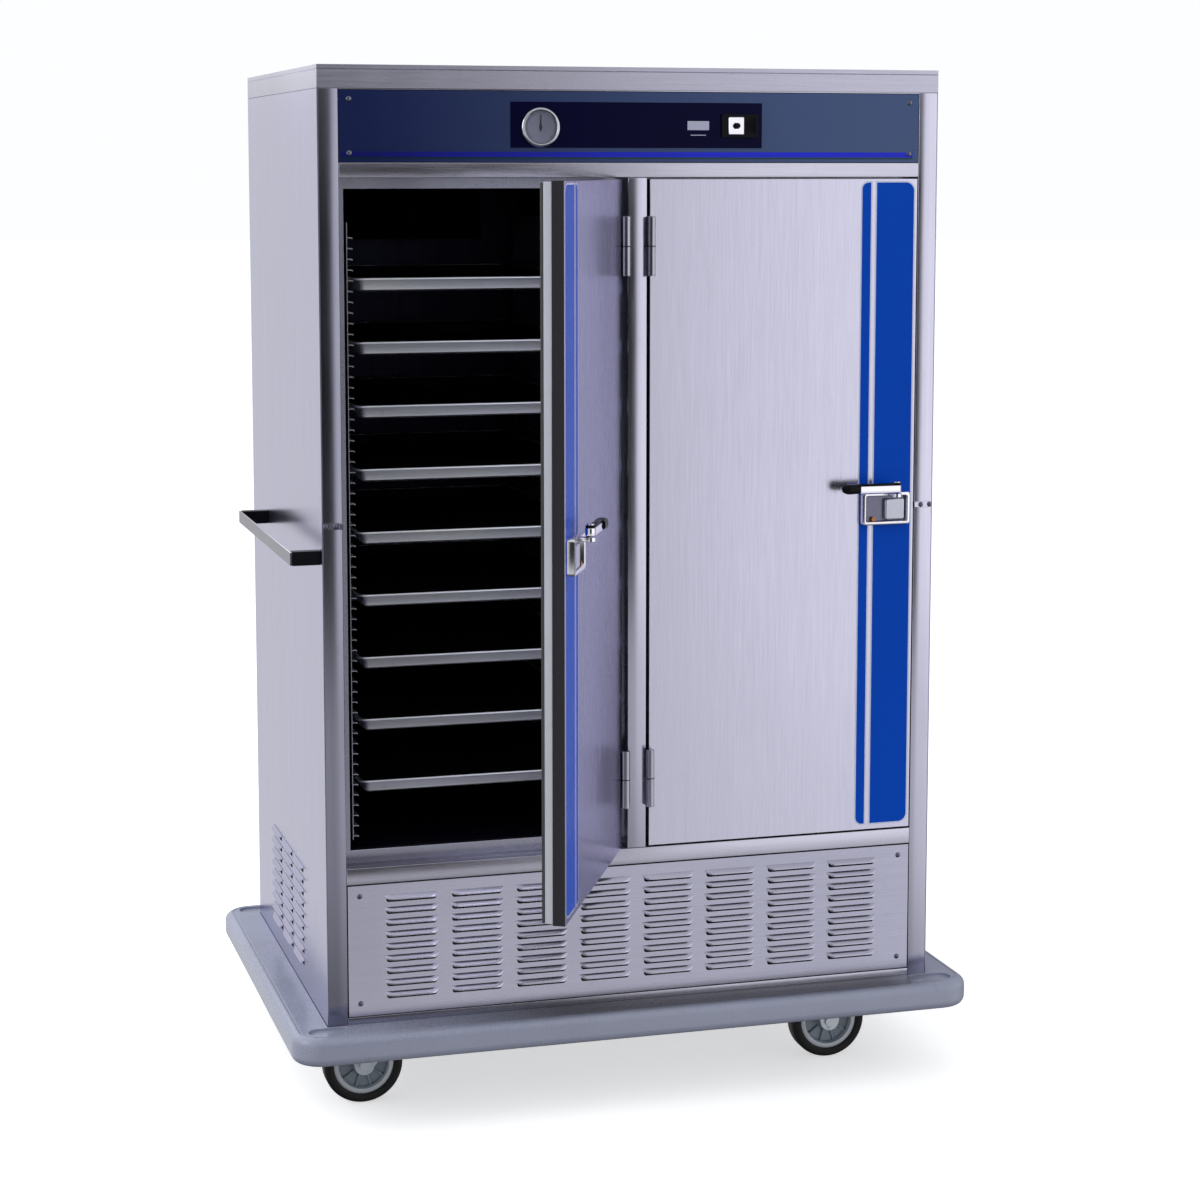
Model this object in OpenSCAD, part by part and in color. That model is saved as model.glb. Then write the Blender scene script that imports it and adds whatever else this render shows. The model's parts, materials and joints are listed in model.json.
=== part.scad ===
// Two-door mobile insulated cabinet on casters, with a louvred machine space below the food bays.
// The origin is on the floor, under the middle of the cabinet. Z is up and the doors face -Y.

/* [Cabinet] */
// Width of the cabinet body
body_w = 1194; // [1180:1:1500]
// Depth of the cabinet body, without the bumper
body_d = 794; // [790:1:1000]
// Top of the base frame above the floor, where the body starts
body_z = 186; // [180:1:240]
// Overall height above the floor
body_top = 1953; // [1940:1:2200]
// Outer sheet thickness
skin = 1.5; // [1:0.1:3]
// Liner sheet thickness
liner_t = 1.2; // [0.8:0.1:2]
// Height of the top cap
cap_h = 42; // [25:1:60]

/* [Face frame] */
// Front-to-back depth of the face frame, which the doors sit in
frame_d = 42; // [42:1:60]
// Width of each corner post
post_w = 38; // [30:1:60]
// Width of the centre mullion
mullion_w = 36; // [30:1:60]
// Height of the control fascia
fascia_h = 130; // [110:1:180]
// Height of the rail between fascia and doors
top_rail_h = 27; // [15:1:50]
// Height of the door openings in the face frame
door_hole_h = 1266; // [1250:1:1500]
// Height of the rail between doors and louvre panel
mid_rail_h = 31; // [20:1:60]
// Height of the rail below the louvre panel
low_rail_h = 17; // [12:1:30]
// Depth of the stop frame that the gaskets close on
stop_d = 15; // [10:1:25]
// Width of the stop frame left showing at the latch side of a door
stop_side = 16; // [14:1:25]
// Width of the stop frame above a door's opening
stop_top = 20; // [16:1:30]
// Width of the stop frame below a door's opening
stop_low = 24; // [16:1:30]

/* [Doors] */
// Gap between a door and the post, head and sill
door_gap = 2; // [1.5:0.5:4]
// Gap between a door and the mullion, where the hinge leaves sit
hinge_gap = 6; // [5:0.5:10]
// Depth of the outer door pan
pan_out_d = 22; // [15:1:30]
// Depth of the inner door pan
pan_in_d = 14; // [8:1:25]
// Step from the outer pan to the inner pan
pan_step = 2; // [1:0.5:6]
// Width of the door gasket
gasket_w = 10; // [6:1:14]
// Depth of the door gasket
gasket_d = 5.6; // [3:0.2:8]
// How far the left door stands open
left_open = 63; // [0:1:160]

/* [Hinges] */
// Radius of a hinge barrel
barrel_r = 8; // [6:0.5:12]
// Radius of a hinge pin
hinge_pin_r = 4; // [3:0.5:5]
// Height of a hinge
hinge_h = 110; // [80:1:160]
// Distance from the door's ends to the hinges
hinge_inset = 68; // [40:1:200]
// Thickness of a hinge leaf
leaf_t = 2; // [1.5:0.5:3]

/* [Latch] */
// Width of the latch housing
latch_w = 98; // [80:1:120]
// Height of the latch housing
latch_h = 64; // [50:1:90]
// How far the latch housing stands off the door
latch_d = 15; // [10:1:25]
// Distance from the door's free edge to the housing
latch_inset = 12; // [8:1:30]
// Height of the latch's middle above the floor
latch_z = 1120; // [900:1:1300]
// Length of the latch lever from its pivot
lever_l = 112; // [90:1:150]
// How far the lever's pivot stands in from the latch's outer end
lever_inset = 37; // [15:1:45]
// Height of the latch lever
lever_h = 19; // [14:1:26]

/* [Sheet pans] */
// Width of a sheet pan over its rim
tray_w = 457; // [440:1:470]
// Depth of a sheet pan over its rim
tray_l = 660; // [600:1:660]
// Height of a sheet pan
tray_h = 25; // [20:1:50]
// Number of pans in the left bay
tray_n = 9; // [1:1:9]
// Spacing of the tray ledges
ledge_pitch = 19.5; // [15:0.5:25]
// Ledges from one pan to the next
ledges_per_tray = 6; // [3:1:8]
// Height of the top pan's rim above the floor
tray_top_z = 1570; // [1510:1:1600]
// How far a ledge reaches under a pan's rim
ledge_w = 10; // [8:1:14]

/* [Base] */
// How far the bumper stands out past the body
bumper_out = 72; // [50:1:110]
// Height of the bumper
bumper_h = 55; // [40:1:70]
// Radius of the bumper's corners in plan
bumper_corner = 58; // [40:1:70]
// Radius of the bumper's outer edges
bumper_edge = 17; // [8:1:20]

/* [Casters] */
// Diameter of a caster wheel
wheel_d = 152; // [125:1:152]
// Width of a tyre
tyre_w = 38; // [30:1:50]
// Thickness of a tyre
tyre_t = 18; // [10:1:24]
// Radius of an axle
axle_r = 6; // [4:0.5:8]
// Distance of the caster mounts from the middle, side to side
caster_x = 448; // [350:1:460]
// Distance of the caster mounts from the middle, front to back
caster_y = 275; // [200:1:280]
// Trail of the swivel casters
caster_trail = 48; // [30:1:50]

/* [Push handle] */
// Length of the handle bar
grip_l = 614; // [300:1:700]
// How far the handle stands off the side
grip_out = 57; // [45:1:90]
// Height of the handle bar
grip_h = 24; // [20:1:40]
// Thickness of the handle bar
grip_t = 4; // [3:0.5:8]
// Height of the handle's middle above the floor
grip_z = 1066; // [900:1:1200]

/* [Louvres] */
// Length of a louvre
louvre_l = 100; // [60:1:110]
// Spacing of the louvre columns
louvre_pitch_x = 125; // [115:1:140]
// Spacing of the louvre rows
louvre_pitch_z = 23; // [18:1:26]
// Number of louvre rows
louvre_rows = 9; // [3:1:9]
// Columns of louvres in the front panel
louvre_cols = 8; // [2:1:8]
// How far a louvre's hood stands out
louvre_out = 6; // [4:0.5:9]

/* [Hidden] */
$fn = 48;
run_fit = 0.05;        // radial clearance of a pin in its bore
clear = 0.4;           // gap between pieces that move past each other
front = -body_d / 2;
half_w = body_w / 2;
cap_z = body_top - cap_h;
in_w = half_w - skin;                     // inner face of the side panels
hole_x = half_w - post_w;                 // inner edge of a post
fascia_top = cap_z - 2;
fascia_z = fascia_top - fascia_h;
head_z = fascia_z - top_rail_h;           // top of the door openings
sill_z = head_z - door_hole_h;            // bottom of the door openings
vent_top = sill_z - mid_rail_h;
vent_z = body_z + low_rail_h;
door_x0 = mullion_w / 2 + hinge_gap;
door_x1 = hole_x - door_gap;
door_z0 = sill_z + door_gap + 1;
door_z1 = head_z - door_gap - 1;
door_in = front + pan_out_d + pan_in_d;   // back of the inner door pan
stop_y = front + frame_d;                 // front of the stop frame
bay_y0 = stop_y + stop_d;
bay_x0 = door_x0 + stop_side;
bay_x1 = hole_x - stop_side;
bay_z0 = sill_z + stop_low;
bay_z1 = head_z - stop_top;
bay_mid = (bay_x0 + bay_x1) / 2;
wall = 40;                                // insulation behind the bays
bay_y1 = -front - skin - wall;
rack_gap = (bay_x1 - bay_x0 - tray_w - 8) / 2;   // from liner to rack face, leaving 4 mm beside a pan
ledge_t = 1.5;
rim_h = 4;
rim_w = 9;
tray_y = bay_y0 + 10 + tray_l / 2;
ledge_top = tray_top_z - rim_h;
ledges_up = floor((bay_z1 - 60 - ledge_top) / ledge_pitch);
ledges_down = floor((ledge_top - bay_z0 - 15) / ledge_pitch);
tray_gap = ledge_pitch * ledges_per_tray;
pin_x = door_x0;
pin_y = front - barrel_r - 0.5;
hinge_z = [door_z0 + hinge_inset + 10, door_z1 - hinge_inset - hinge_h];
latch_x1 = door_x1 - latch_inset;
latch_x0 = latch_x1 - latch_w;
latch_back = front - latch_d;
lever_pin_x = latch_x1 - lever_inset;
lever_pin_y = latch_back - 19;
lever_z = latch_z + latch_h / 2 + 1;
axle_z = wheel_d / 2;
hub_r = wheel_d / 2 - tyre_t;
hub_l = tyre_w + 6;
fork_in = hub_l / 2 + 1;
fork_t = 3;
crown_z = wheel_d + 2.5;
mount_z = body_z - 12;                    // underside of the caster pads
king_r = 6;
dial_x = -186;
dial_z = fascia_z + 64;
dial_r = 37;
switch_x = 190;
switch_z = fascia_z + 68;
window_z = fascia_z + 27;
window_h = 83;
window_w = 484;
face_y = front + 0.5;                     // front of the fascia sheet
glass_y = face_y - 1;                     // front of the control window
louvre_mid = (vent_z + vent_top) / 2 + 4;
fan_r = 88;
cool_fan_r = 50;
floor_z = body_z;

// ---- helpers ----

// A box from one corner to the opposite corner
module block(a, b) {
    translate(a) cube([b[0] - a[0], b[1] - a[1], b[2] - a[2]]);
}

// A rectangle with round corners, centred
module soft_rect(w, h, r) {
    square([w - 2 * r, h], center = true);
    square([w, h - 2 * r], center = true);
    for (x = [-1, 1], y = [-1, 1]) translate([x * (w / 2 - r), y * (h / 2 - r)]) circle(r);
}

// A cylinder along Y, from y0 to y1
module rod_y(x, z, r, y0, y1) {
    translate([x, y1, z]) rotate([90, 0, 0]) cylinder(r = r, h = y1 - y0);
}

module both_sides() {
    children();
    mirror([1, 0, 0]) children();
}

// Puts a right-hand door piece on the left door, which stands open
module on_left_door() {
    translate([-pin_x, pin_y, 0]) rotate([0, 0, left_open]) translate([pin_x, -pin_y, 0])
        mirror([1, 0, 0]) children();
}

// ---- base and body ----

module base_frame() {
    skirt_z = body_z - 40;
    color("silver") difference() {
        block([-half_w, front, skirt_z], [half_w, -front, body_z]);
        block([-half_w + 3, front + 3, skirt_z - 1], [half_w - 3, -front - 3, mount_z]);
        for (x = [-1, 0, 1])
            block([x * 375 - 130, front + 30, mount_z - 1], [x * 375 + 130, front + 85, body_z - 3]);
        block([-260, -240, mount_z - 1], [260, 240, body_z - 3]);
    }
}

module bumper_profile(w) {
    r = bumper_edge;
    square([w - r, bumper_h]);
    translate([0, r]) square([w, bumper_h - 2 * r]);
    for (z = [r, bumper_h - r]) translate([w - r, z]) circle(r);
}

module bumper() {
    gap = 0.5;
    run_w = bumper_out - gap;
    out_x = half_w + bumper_out;
    out_y = -front + bumper_out;
    z0 = body_z + 4 - bumper_h;
    groove = 16;
    color("lightsteelblue") difference() {
        union() {
            for (s = [-1, 1]) {
                translate([-s * (out_x - bumper_corner), s * (out_y - run_w), z0]) rotate([0, 0, 90 * s - 90])
                    rotate([90, 0, 90]) linear_extrude(2 * (out_x - bumper_corner)) bumper_profile(run_w);
                translate([s * (out_x - run_w), s * (out_y - bumper_corner), z0]) rotate([0, 0, 90 - 90 * s])
                    rotate([90, 0, 0]) linear_extrude(2 * (out_y - bumper_corner)) bumper_profile(run_w);
            }
            for (k = [[1, 1, 0], [-1, 1, 90], [-1, -1, 180], [1, -1, 270]])
                translate([k[0] * (out_x - bumper_corner), k[1] * (out_y - bumper_corner), z0])
                    rotate([0, 0, k[2]]) rotate_extrude(angle = 90) bumper_profile(bumper_corner);
        }
        // drip groove that runs round the top, near the outer edge
        translate([0, 0, body_z + 2.5]) linear_extrude(2) difference() {
            soft_rect(2 * (out_x - groove), 2 * (out_y - groove), bumper_corner - groove);
            soft_rect(2 * (out_x - groove - 3), 2 * (out_y - groove - 3), bumper_corner - groove - 3);
        }
        // shallow pocket at each corner of the body
        for (x = [-1, 1], y = [-1, 1])
            translate([x * half_w, y * (-front + 26), body_z - 1]) linear_extrude(6)
                soft_rect(80, 42, 20);
    }
}

// Outline of a louvre, pressed out of the sheet: open below, closed along the top
module louvre_hood() {
    rotate([90, 0, 90]) linear_extrude(louvre_l, center = true)
        polygon([[0, 6], [-louvre_out, 1], [-louvre_out, -1.5], [-louvre_out + 1, -1.5], [-louvre_out + 1, 0.5],
            [0, 4.7]]);
    for (s = [-1, 1]) translate([s * (louvre_l - 1) / 2, 0, 0]) rotate([90, 0, 90])
        linear_extrude(1, center = true) polygon([[0, 6], [-louvre_out, 1], [-louvre_out, -1.5], [0, -5]]);
}

module louvre_grid(cols) {
    for (i = [0:cols - 1], j = [0:louvre_rows - 1])
        translate([(i - (cols - 1) / 2) * louvre_pitch_x, 0, (j - (louvre_rows - 1) / 2) * louvre_pitch_z])
            children();
}

// A sheet facing -Y with louvres, its front face at y = 0
module louvred_sheet(w, z0, z1, cols, mid_x) {
    difference() {
        block([-w / 2, 0, z0], [w / 2, skin, z1]);
        translate([mid_x, 0, louvre_mid]) louvre_grid(cols)
            block([-louvre_l / 2 + 1, -1, -5], [louvre_l / 2 - 1, skin + 1, 4.6]);
    }
    translate([mid_x, 0, louvre_mid]) louvre_grid(cols) louvre_hood();
}

module left_side_panel() {
    color("lightgray") translate([-half_w, 0, 0]) rotate([0, 0, -90])
        louvred_sheet(body_d, body_z, cap_z, 3, -20);
}

module right_side_panel() {
    color("lightgray") block([in_w, front, body_z], [half_w, -front, cap_z]);
}

module back_panel() {
    color("lightgray") difference() {
        translate([0, -front, 0]) rotate([0, 0, 180]) louvred_sheet(2 * in_w, body_z, cap_z, 4, 180);
        block([inlet_x - 30, -front - 5, inlet_z - 22], [inlet_x + 30, -front + 5, inlet_z + 22]);
    }
}

module top_cap() {
    color("gainsboro") difference() {
        block([-half_w, front, cap_z], [half_w, -front, body_top]);
        block([-half_w + 2, front + 2, cap_z - 1], [half_w - 2, -front - 2, body_top - 2]);
        // lip line round the top edge
        difference() {
            block([-half_w - 1, front - 1, body_top - 9], [half_w + 1, -front + 1, body_top - 8]);
            block([-half_w + 0.8, front + 0.8, body_top - 10], [half_w - 0.8, -front - 0.8, body_top]);
        }
    }
}

module face_frame() {
    color("silver") difference() {
        block([-in_w, front, body_z], [in_w, stop_y, cap_z]);
        block([-hole_x, front - 1, vent_z], [hole_x, stop_y + 1, vent_top]);
        block([-hole_x, front - 1, fascia_z], [hole_x, stop_y + 1, fascia_top]);
        both_sides() block([mullion_w / 2, front - 1, sill_z], [hole_x, stop_y + 1, head_z]);
    }
}

module stop_frame() {
    color("gray") difference() {
        block([-in_w, stop_y, vent_top + 4], [in_w, bay_y0, fascia_z - 4]);
        both_sides() block([bay_x0, stop_y - 1, bay_z0], [bay_x1, bay_y0 + 1, bay_z1]);
    }
}

module louvre_panel() {
    color("lightgray") translate([0, front, 0])
        louvred_sheet(2 * hole_x - 4, vent_z + 2, vent_top - 2, louvre_cols, 0);
}

// ---- controls ----

module fascia() {
    color("midnightblue") difference() {
        block([-hole_x + 1, face_y, fascia_z + 1], [hole_x - 1, face_y + 2, fascia_top - 1]);
        rod_y(dial_x, dial_z, dial_r - 8, front - 5, front + 10);
        block([switch_x - 14, front - 5, switch_z - 16], [switch_x + 14, front + 10, switch_z + 16]);
    }
}

module control_window() {
    color("black") difference() {
        block([-window_w / 2, glass_y, window_z], [window_w / 2, face_y, window_z + window_h]);
        rod_y(dial_x, dial_z, dial_r - 8, front - 5, front + 10);
        block([switch_x - 14, front - 5, switch_z - 16], [switch_x + 14, front + 10, switch_z + 16]);
    }
}

module thermometer_case() {
    color("silver") translate([dial_x, glass_y, dial_z]) rotate([90, 0, 0]) difference() {
        union() {
            rotate_extrude() translate([dial_r - 7, 0]) union() {
                square([7, 6]);
                square([4, 9]);
                translate([4, 6]) circle(3);
            }
            translate([0, 0, -24]) cylinder(r = dial_r - 8.5, h = 26);
        }
        translate([0, 0, -22]) cylinder(r = dial_r - 10, h = 30);
    }
}

module thermometer_dial() {
    color("lightgray") {
        rod_y(dial_x, dial_z, dial_r - 7.2, glass_y - 3, glass_y - 2);
        rod_y(dial_x, dial_z, 1.2, glass_y - 5.5, glass_y - 3);
    }
}

module thermometer_needle() {
    color("black") difference() {
        union() {
            rod_y(dial_x, dial_z, 3, glass_y - 5, glass_y - 3.8);
            translate([dial_x, glass_y - 3.9, dial_z]) rotate([90, 0, 0]) linear_extrude(0.9)
                polygon([[-1.2, -7], [1.2, -7], [0.4, 23], [-0.4, 23]]);
        }
        rod_y(dial_x, dial_z, 1.2 + run_fit, glass_y - 7, glass_y);
    }
}

module thermometer_lens() {
    color("aliceblue", 0.3) rod_y(dial_x, dial_z, dial_r - 7.2, glass_y - 8.5, glass_y - 7);
}

module switch_housing() {
    color("dimgray") difference() {
        union() {
            block([switch_x - 28, glass_y - 5, switch_z - 21], [switch_x + 43, glass_y, switch_z + 21]);
            block([switch_x - 13, glass_y - 1, switch_z - 15], [switch_x + 13, glass_y + 24, switch_z + 15]);
        }
        block([switch_x - 11, glass_y - 3, switch_z - 13], [switch_x + 11, glass_y + 22, switch_z + 13]);
        block([switch_x - 24, glass_y - 6, switch_z - 17], [switch_x + 39, glass_y - 3.5, switch_z + 17]);
        rod_y(switch_x, switch_z, 6.5, glass_y - 6, glass_y - 2);
    }
}

module switch_toggle() {
    color("black") translate([switch_x, glass_y + 2, switch_z]) rotate([90, 0, 0]) union() {
        cylinder(r = 3, h = 17);
        translate([0, 0, 17]) sphere(4.5);
        rotate([0, 90, 0]) cylinder(r = 4, h = 16, center = true);
    }
}

// ---- insulated bays ----

module cabinet_insulation() {
    t = liner_t;
    color("khaki") difference() {
        block([-in_w, bay_y0, vent_top + 4], [in_w, -front - skin, fascia_z - 4]);
        block([-bay_x1 - t, bay_y0 - 1, bay_z0 - t], [bay_x1 + t, bay_y1 + t, bay_z1 + t]);
    }
}

module air_slots() {
    block([-bay_x0 - 5, bay_y1 - 240, bay_z1 - 90], [bay_x0 + 5, bay_y1 - 60, bay_z1 - 40]);
    block([-bay_x0 - 5, bay_y1 - 240, bay_z0 + 30], [bay_x0 + 5, bay_y1 - 60, bay_z0 + 60]);
}

module bay_liner() {
    t = liner_t;
    color("dimgray") difference() {
        both_sides() difference() {
            block([bay_x0 - t, bay_y0, bay_z0 - t], [bay_x1 + t, bay_y1 + t, bay_z1 + t]);
            block([bay_x0, bay_y0 - 1, bay_z0], [bay_x1, bay_y1, bay_z1]);
        }
        air_slots();
    }
}

module bay_divider() {
    t = liner_t;
    color("wheat") difference() {
        block([-bay_x0 + t, bay_y0, bay_z0 - t], [bay_x0 - t, bay_y1 + t, bay_z1 + t]);
        air_slots();
    }
}

// One wall of ledges; its face looks along +X and its back stands on the liner at x = 0
module rack() {
    y0 = bay_y0 + 6;
    y1 = tray_y + tray_l / 2 + 4;
    z0 = ledge_top - ledges_down * ledge_pitch - 8;
    z1 = ledge_top + ledges_up * ledge_pitch + 8;
    block([rack_gap - 1.5, y0, z0], [rack_gap, y1, z1]);
    for (f = [0.04, 0.48, 0.9]) block([0, y0 + f * (y1 - y0), z0], [rack_gap - 1.5, y0 + f * (y1 - y0) + 30, z1]);
    for (i = [-ledges_up:ledges_down])
        block([rack_gap - 0.1, y0, ledge_top - i * ledge_pitch - ledge_t],
            [rack_gap + ledge_w, y1, ledge_top - i * ledge_pitch]);
}

module tray_slides() {
    color("gray") both_sides() {
        translate([bay_x0, 0, 0]) rack();
        translate([bay_x1, 0, 0]) mirror([1, 0, 0]) rack();
    }
}

module sheet_pan() {
    wall_w = tray_w - 2 * rim_w + 2;
    wall_l = tray_l - 2 * rim_w + 2;
    difference() {
        union() {
            translate([0, 0, -rim_h]) linear_extrude(rim_h) soft_rect(tray_w, tray_l, 22);
            translate([0, 0, -tray_h]) linear_extrude(tray_h) soft_rect(wall_w, wall_l, 14);
        }
        translate([0, 0, -tray_h + 1.2]) linear_extrude(tray_h) soft_rect(wall_w - 2.4, wall_l - 2.4, 12.8);
    }
}

module sheet_pans() {
    color("silver") for (k = [0:tray_n - 1])
        translate([-bay_mid, tray_y, tray_top_z - k * tray_gap]) sheet_pan();
}

// ---- cooling machine ----

comp_x = 260;
comp_y = 120;
coil_x = -255;
coil_y = front + 60;
fan_y = coil_y + 75;
fan_z = floor_z + 120;
evap_x = -bay_mid - 20;
evap_z = bay_z1 - 58;
evap_y = bay_y1 - 200;
inlet_x = 420;
inlet_z = floor_z + 60;

module compressor() {
    color("darkslategray") translate([comp_x, comp_y, floor_z]) {
        block([-110, -80, 0], [110, 80, 6]);
        for (x = [-85, 85], y = [-55, 55]) translate([x, y, 5]) cylinder(r = 12, h = 20);
        translate([0, 0, 20]) cylinder(r = 92, h = 8);
        translate([0, 0, 25]) cylinder(r = 80, h = 110);
        translate([0, 0, 134]) rotate_extrude() difference() {
            circle(80);
            translate([-90, -90]) square([90, 180]);
            translate([-1, -90]) square([100, 90]);
            translate([-1, 50]) square([100, 100]);
        }
    }
}

module coil_block(w, d, h, n) {
    block([-w / 2, 0, 0], [-w / 2 + 3, d, h]);
    block([w / 2 - 3, 0, 0], [w / 2, d, h]);
    for (i = [0:n - 1]) translate([0, d / 2, (i + 0.5) * h / n]) rotate([0, 90, 0])
        cylinder(r = 5, h = w + 16, center = true);
    for (i = [1:24]) block([-w / 2 + i * w / 25, 2, 2], [-w / 2 + i * w / 25 + 1, d - 2, h - 2]);
}

module condenser_coil() {
    color("darkgoldenrod") translate([coil_x, coil_y, floor_z]) coil_block(330, 40, 230, 7);
}

// Fan wheel with its axle along Y; blades are flat plates set at a pitch
module fan_wheel(r, depth) {
    difference() {
        union() {
            cylinder(r = r * 0.26, h = depth, center = true);
            for (a = [0:72:359]) rotate([0, 0, a]) translate([r * 0.58, 0, 0]) rotate([32, 0, 0])
                cube([r * 0.76, r * 0.5, 1.5], center = true);
        }
        cylinder(r = 4 + run_fit, h = depth + 40, center = true);
    }
}

module condenser_fan() {
    color("slategray") translate([coil_x, fan_y, fan_z]) rotate([90, 0, 0]) fan_wheel(fan_r, 24);
}

module fan_motors() {
    color("dimgray") {
        rod_y(coil_x, fan_z, 4, fan_y - 14, fan_y + 32);
        rod_y(coil_x, fan_z, 38, fan_y + 30, fan_y + 100);
        block([coil_x - 30, fan_y + 40, floor_z], [coil_x + 30, fan_y + 90, fan_z - 20]);
        rod_y(evap_x, evap_z, 4, evap_y - 38, evap_y - 12);
        rod_y(evap_x, evap_z, 26, evap_y - 20, evap_y);
    }
}

module evaporator_coil() {
    color("silver") {
        translate([evap_x, evap_y, evap_z - 50]) coil_block(300, 120, 100, 4);
        block([evap_x - 150, evap_y, evap_z + 50], [evap_x + 150, evap_y + 120, bay_z1]);
    }
}

module evaporator_fan() {
    color("slategray") translate([evap_x, evap_y - 28, evap_z]) rotate([90, 0, 0])
        fan_wheel(cool_fan_r, 12);
}

module control_box() {
    color("dimgray") {
        block([430, -150, floor_z], [560, 70, floor_z + 150]);
        block([425, -155, floor_z + 150], [565, 75, floor_z + 154]);
    }
}

module power_inlet() {
    color("black") difference() {
        union() {
            block([inlet_x - 38, -front, inlet_z - 28], [inlet_x + 38, -front + 3, inlet_z + 28]);
            block([inlet_x - 27, -front - 32, inlet_z - 19], [inlet_x + 27, -front + 1, inlet_z + 19]);
        }
        block([inlet_x - 24, -front - 26, inlet_z - 16], [inlet_x + 24, -front + 4, inlet_z + 16]);
    }
    color("goldenrod") for (p = [[-9, -4], [9, -4], [0, 6]])
        block([inlet_x + p[0] - 1, -front - 27, inlet_z + p[1] - 3], [inlet_x + p[0] + 1, -front - 8, inlet_z + p[1] + 3]);
}

// ---- hinges, strikes, screws, handle ----

module frame_hinges() {
    color("silver") both_sides() for (z = hinge_z) {
        translate([pin_x, pin_y, z]) cylinder(r = barrel_r, h = hinge_h / 2 - clear);
        block([mullion_w / 2, pin_y, z], [mullion_w / 2 + leaf_t, front + 32, z + hinge_h / 2 - clear]);
        translate([pin_x, pin_y, z]) cylinder(r = hinge_pin_r, h = hinge_h - 2);
    }
}

module door_hinges() {
    color("silver") for (z = hinge_z) difference() {
        union() {
            translate([pin_x, pin_y, z + hinge_h / 2]) cylinder(r = barrel_r, h = hinge_h / 2);
            block([pin_x - leaf_t, pin_y, z + hinge_h / 2], [pin_x, front + pan_out_d - 2, z + hinge_h]);
        }
        translate([pin_x, pin_y, z]) cylinder(r = hinge_pin_r + run_fit, h = hinge_h - 1.5);
    }
}

module latch_strikes() {
    color("silver") both_sides() translate([hole_x, front, latch_z + 4]) {
        block([-0.5, -2, -6], [post_w - 4, 0, 6]);
        block([-0.5, -4, -5], [6, -1.5, 5]);
    }
}

module screw_head(x, y, z) {
    translate([x, y, z]) rotate([90, 0, 0]) difference() {
        union() {
            cylinder(r = 5, h = 1);
            translate([0, 0, 1]) cylinder(r1 = 5, r2 = 3, h = 1.2);
        }
        translate([-4, -0.5, 1.4]) cube([8, 1, 2]);
    }
}

module panel_screws() {
    color("gainsboro") {
        for (x = [-1, 1]) {
            for (z = [vent_z + 26, vent_top - 22]) screw_head(x * (hole_x - 24), front, z);
            for (z = [fascia_z + 17, fascia_top - 17]) screw_head(x * (hole_x - 20), face_y, z);
            for (dx = [13, 31]) screw_head(x * (hole_x + dx), front - 2, latch_z + 4);
        }
    }
}

module handle_place() {
    translate([-half_w, front + 10, grip_z]) children();
}

module push_handle() {
    color("silver") handle_place() block([-grip_out, 0, -grip_h / 2], [-grip_out + grip_t, grip_l, grip_h / 2]);
}

module handle_brackets() {
    color("black") handle_place() for (y = [0, grip_l - 22])
        block([-grip_out + grip_t, y, -grip_h / 2 - 1], [0, y + 22, grip_h / 2 + 1]);
}

// ---- casters ----

// Side plate of a fork: from the crown down to the axle, which lies back by the trail
module fork_plate(trail) {
    rotate([90, 0, 0]) linear_extrude(fork_t, center = true) union() {
        polygon([[-trail - 34, crown_z], [32, crown_z], [30, crown_z - 20], [-trail + 19, axle_z - 2],
            [-trail - 19, axle_z - 2]]);
        translate([-trail, axle_z]) circle(19);
    }
}

module fork_axle(trail) {
    rod_y(-trail, axle_z, axle_r, -fork_in - fork_t, fork_in + fork_t);
    for (s = [-1, 1]) rod_y(-trail, axle_z, 10, s * (fork_in + fork_t + 2.5) - 2.5, s * (fork_in + fork_t + 2.5) + 2.5);
}

module fork(trail) {
    for (s = [-1, 1]) translate([0, s * (fork_in + fork_t / 2), 0]) fork_plate(trail);
    fork_axle(trail);
}

module swivel_fork(y) {
    color("darkgray") translate([-caster_x - 14, y, 0]) difference() {
        union() {
            fork(caster_trail);
            block([-caster_trail - 34, -fork_in - fork_t, crown_z], [32, fork_in + fork_t, crown_z + 3]);
            translate([0, 0, crown_z]) cylinder(r = 34, h = 3);
        }
        translate([0, 0, crown_z - 1]) cylinder(r = king_r + run_fit, h = 5);
    }
}

module caster_plate() {
    block([-52, -44, mount_z - 3], [52, 44, mount_z]);
}

module caster_mounts() {
    color("darkgray") for (y = [-caster_y, caster_y]) {
        translate([-caster_x - 14, y, 0]) {
            caster_plate();
            translate([0, 0, crown_z + 3 + clear]) cylinder(r = 31, h = mount_z - 2 - crown_z - 3 - clear);
            translate([0, 0, crown_z - clear]) cylinder(r = king_r, h = mount_z - crown_z - 1);
            translate([0, 0, crown_z - clear - 7]) cylinder(r = 11, h = 7);
        }
        translate([caster_x - 14, y, 0]) {
            caster_plate();
            fork(0);
            block([-34, -fork_in - fork_t, crown_z], [32, fork_in + fork_t, mount_z - 2]);
        }
    }
}

module hub(x, y) {
    color("lightslategray") translate([x, y, axle_z]) rotate([90, 0, 0]) difference() {
        union() {
            cylinder(r = hub_r, h = tyre_w - 4, center = true);
            cylinder(r = 20, h = hub_l, center = true);
        }
        for (s = [-1, 1]) translate([0, 0, s * tyre_w / 2]) difference() {
            cylinder(r = hub_r - 8, h = 16, center = true);
            cylinder(r = 20, h = 17, center = true);
        }
        cylinder(r = axle_r + run_fit, h = hub_l + 2, center = true);
    }
}

module tyre(x, y) {
    color("black") translate([x, y, axle_z]) rotate([90, 0, 0]) rotate_extrude() {
        translate([hub_r, -tyre_w / 2]) square([tyre_t - 8, tyre_w]);
        translate([hub_r, -tyre_w / 2 + 8]) square([tyre_t, tyre_w - 16]);
        for (s = [-1, 1]) translate([hub_r + tyre_t - 8, s * (tyre_w / 2 - 8)]) circle(8);
    }
}

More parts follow.
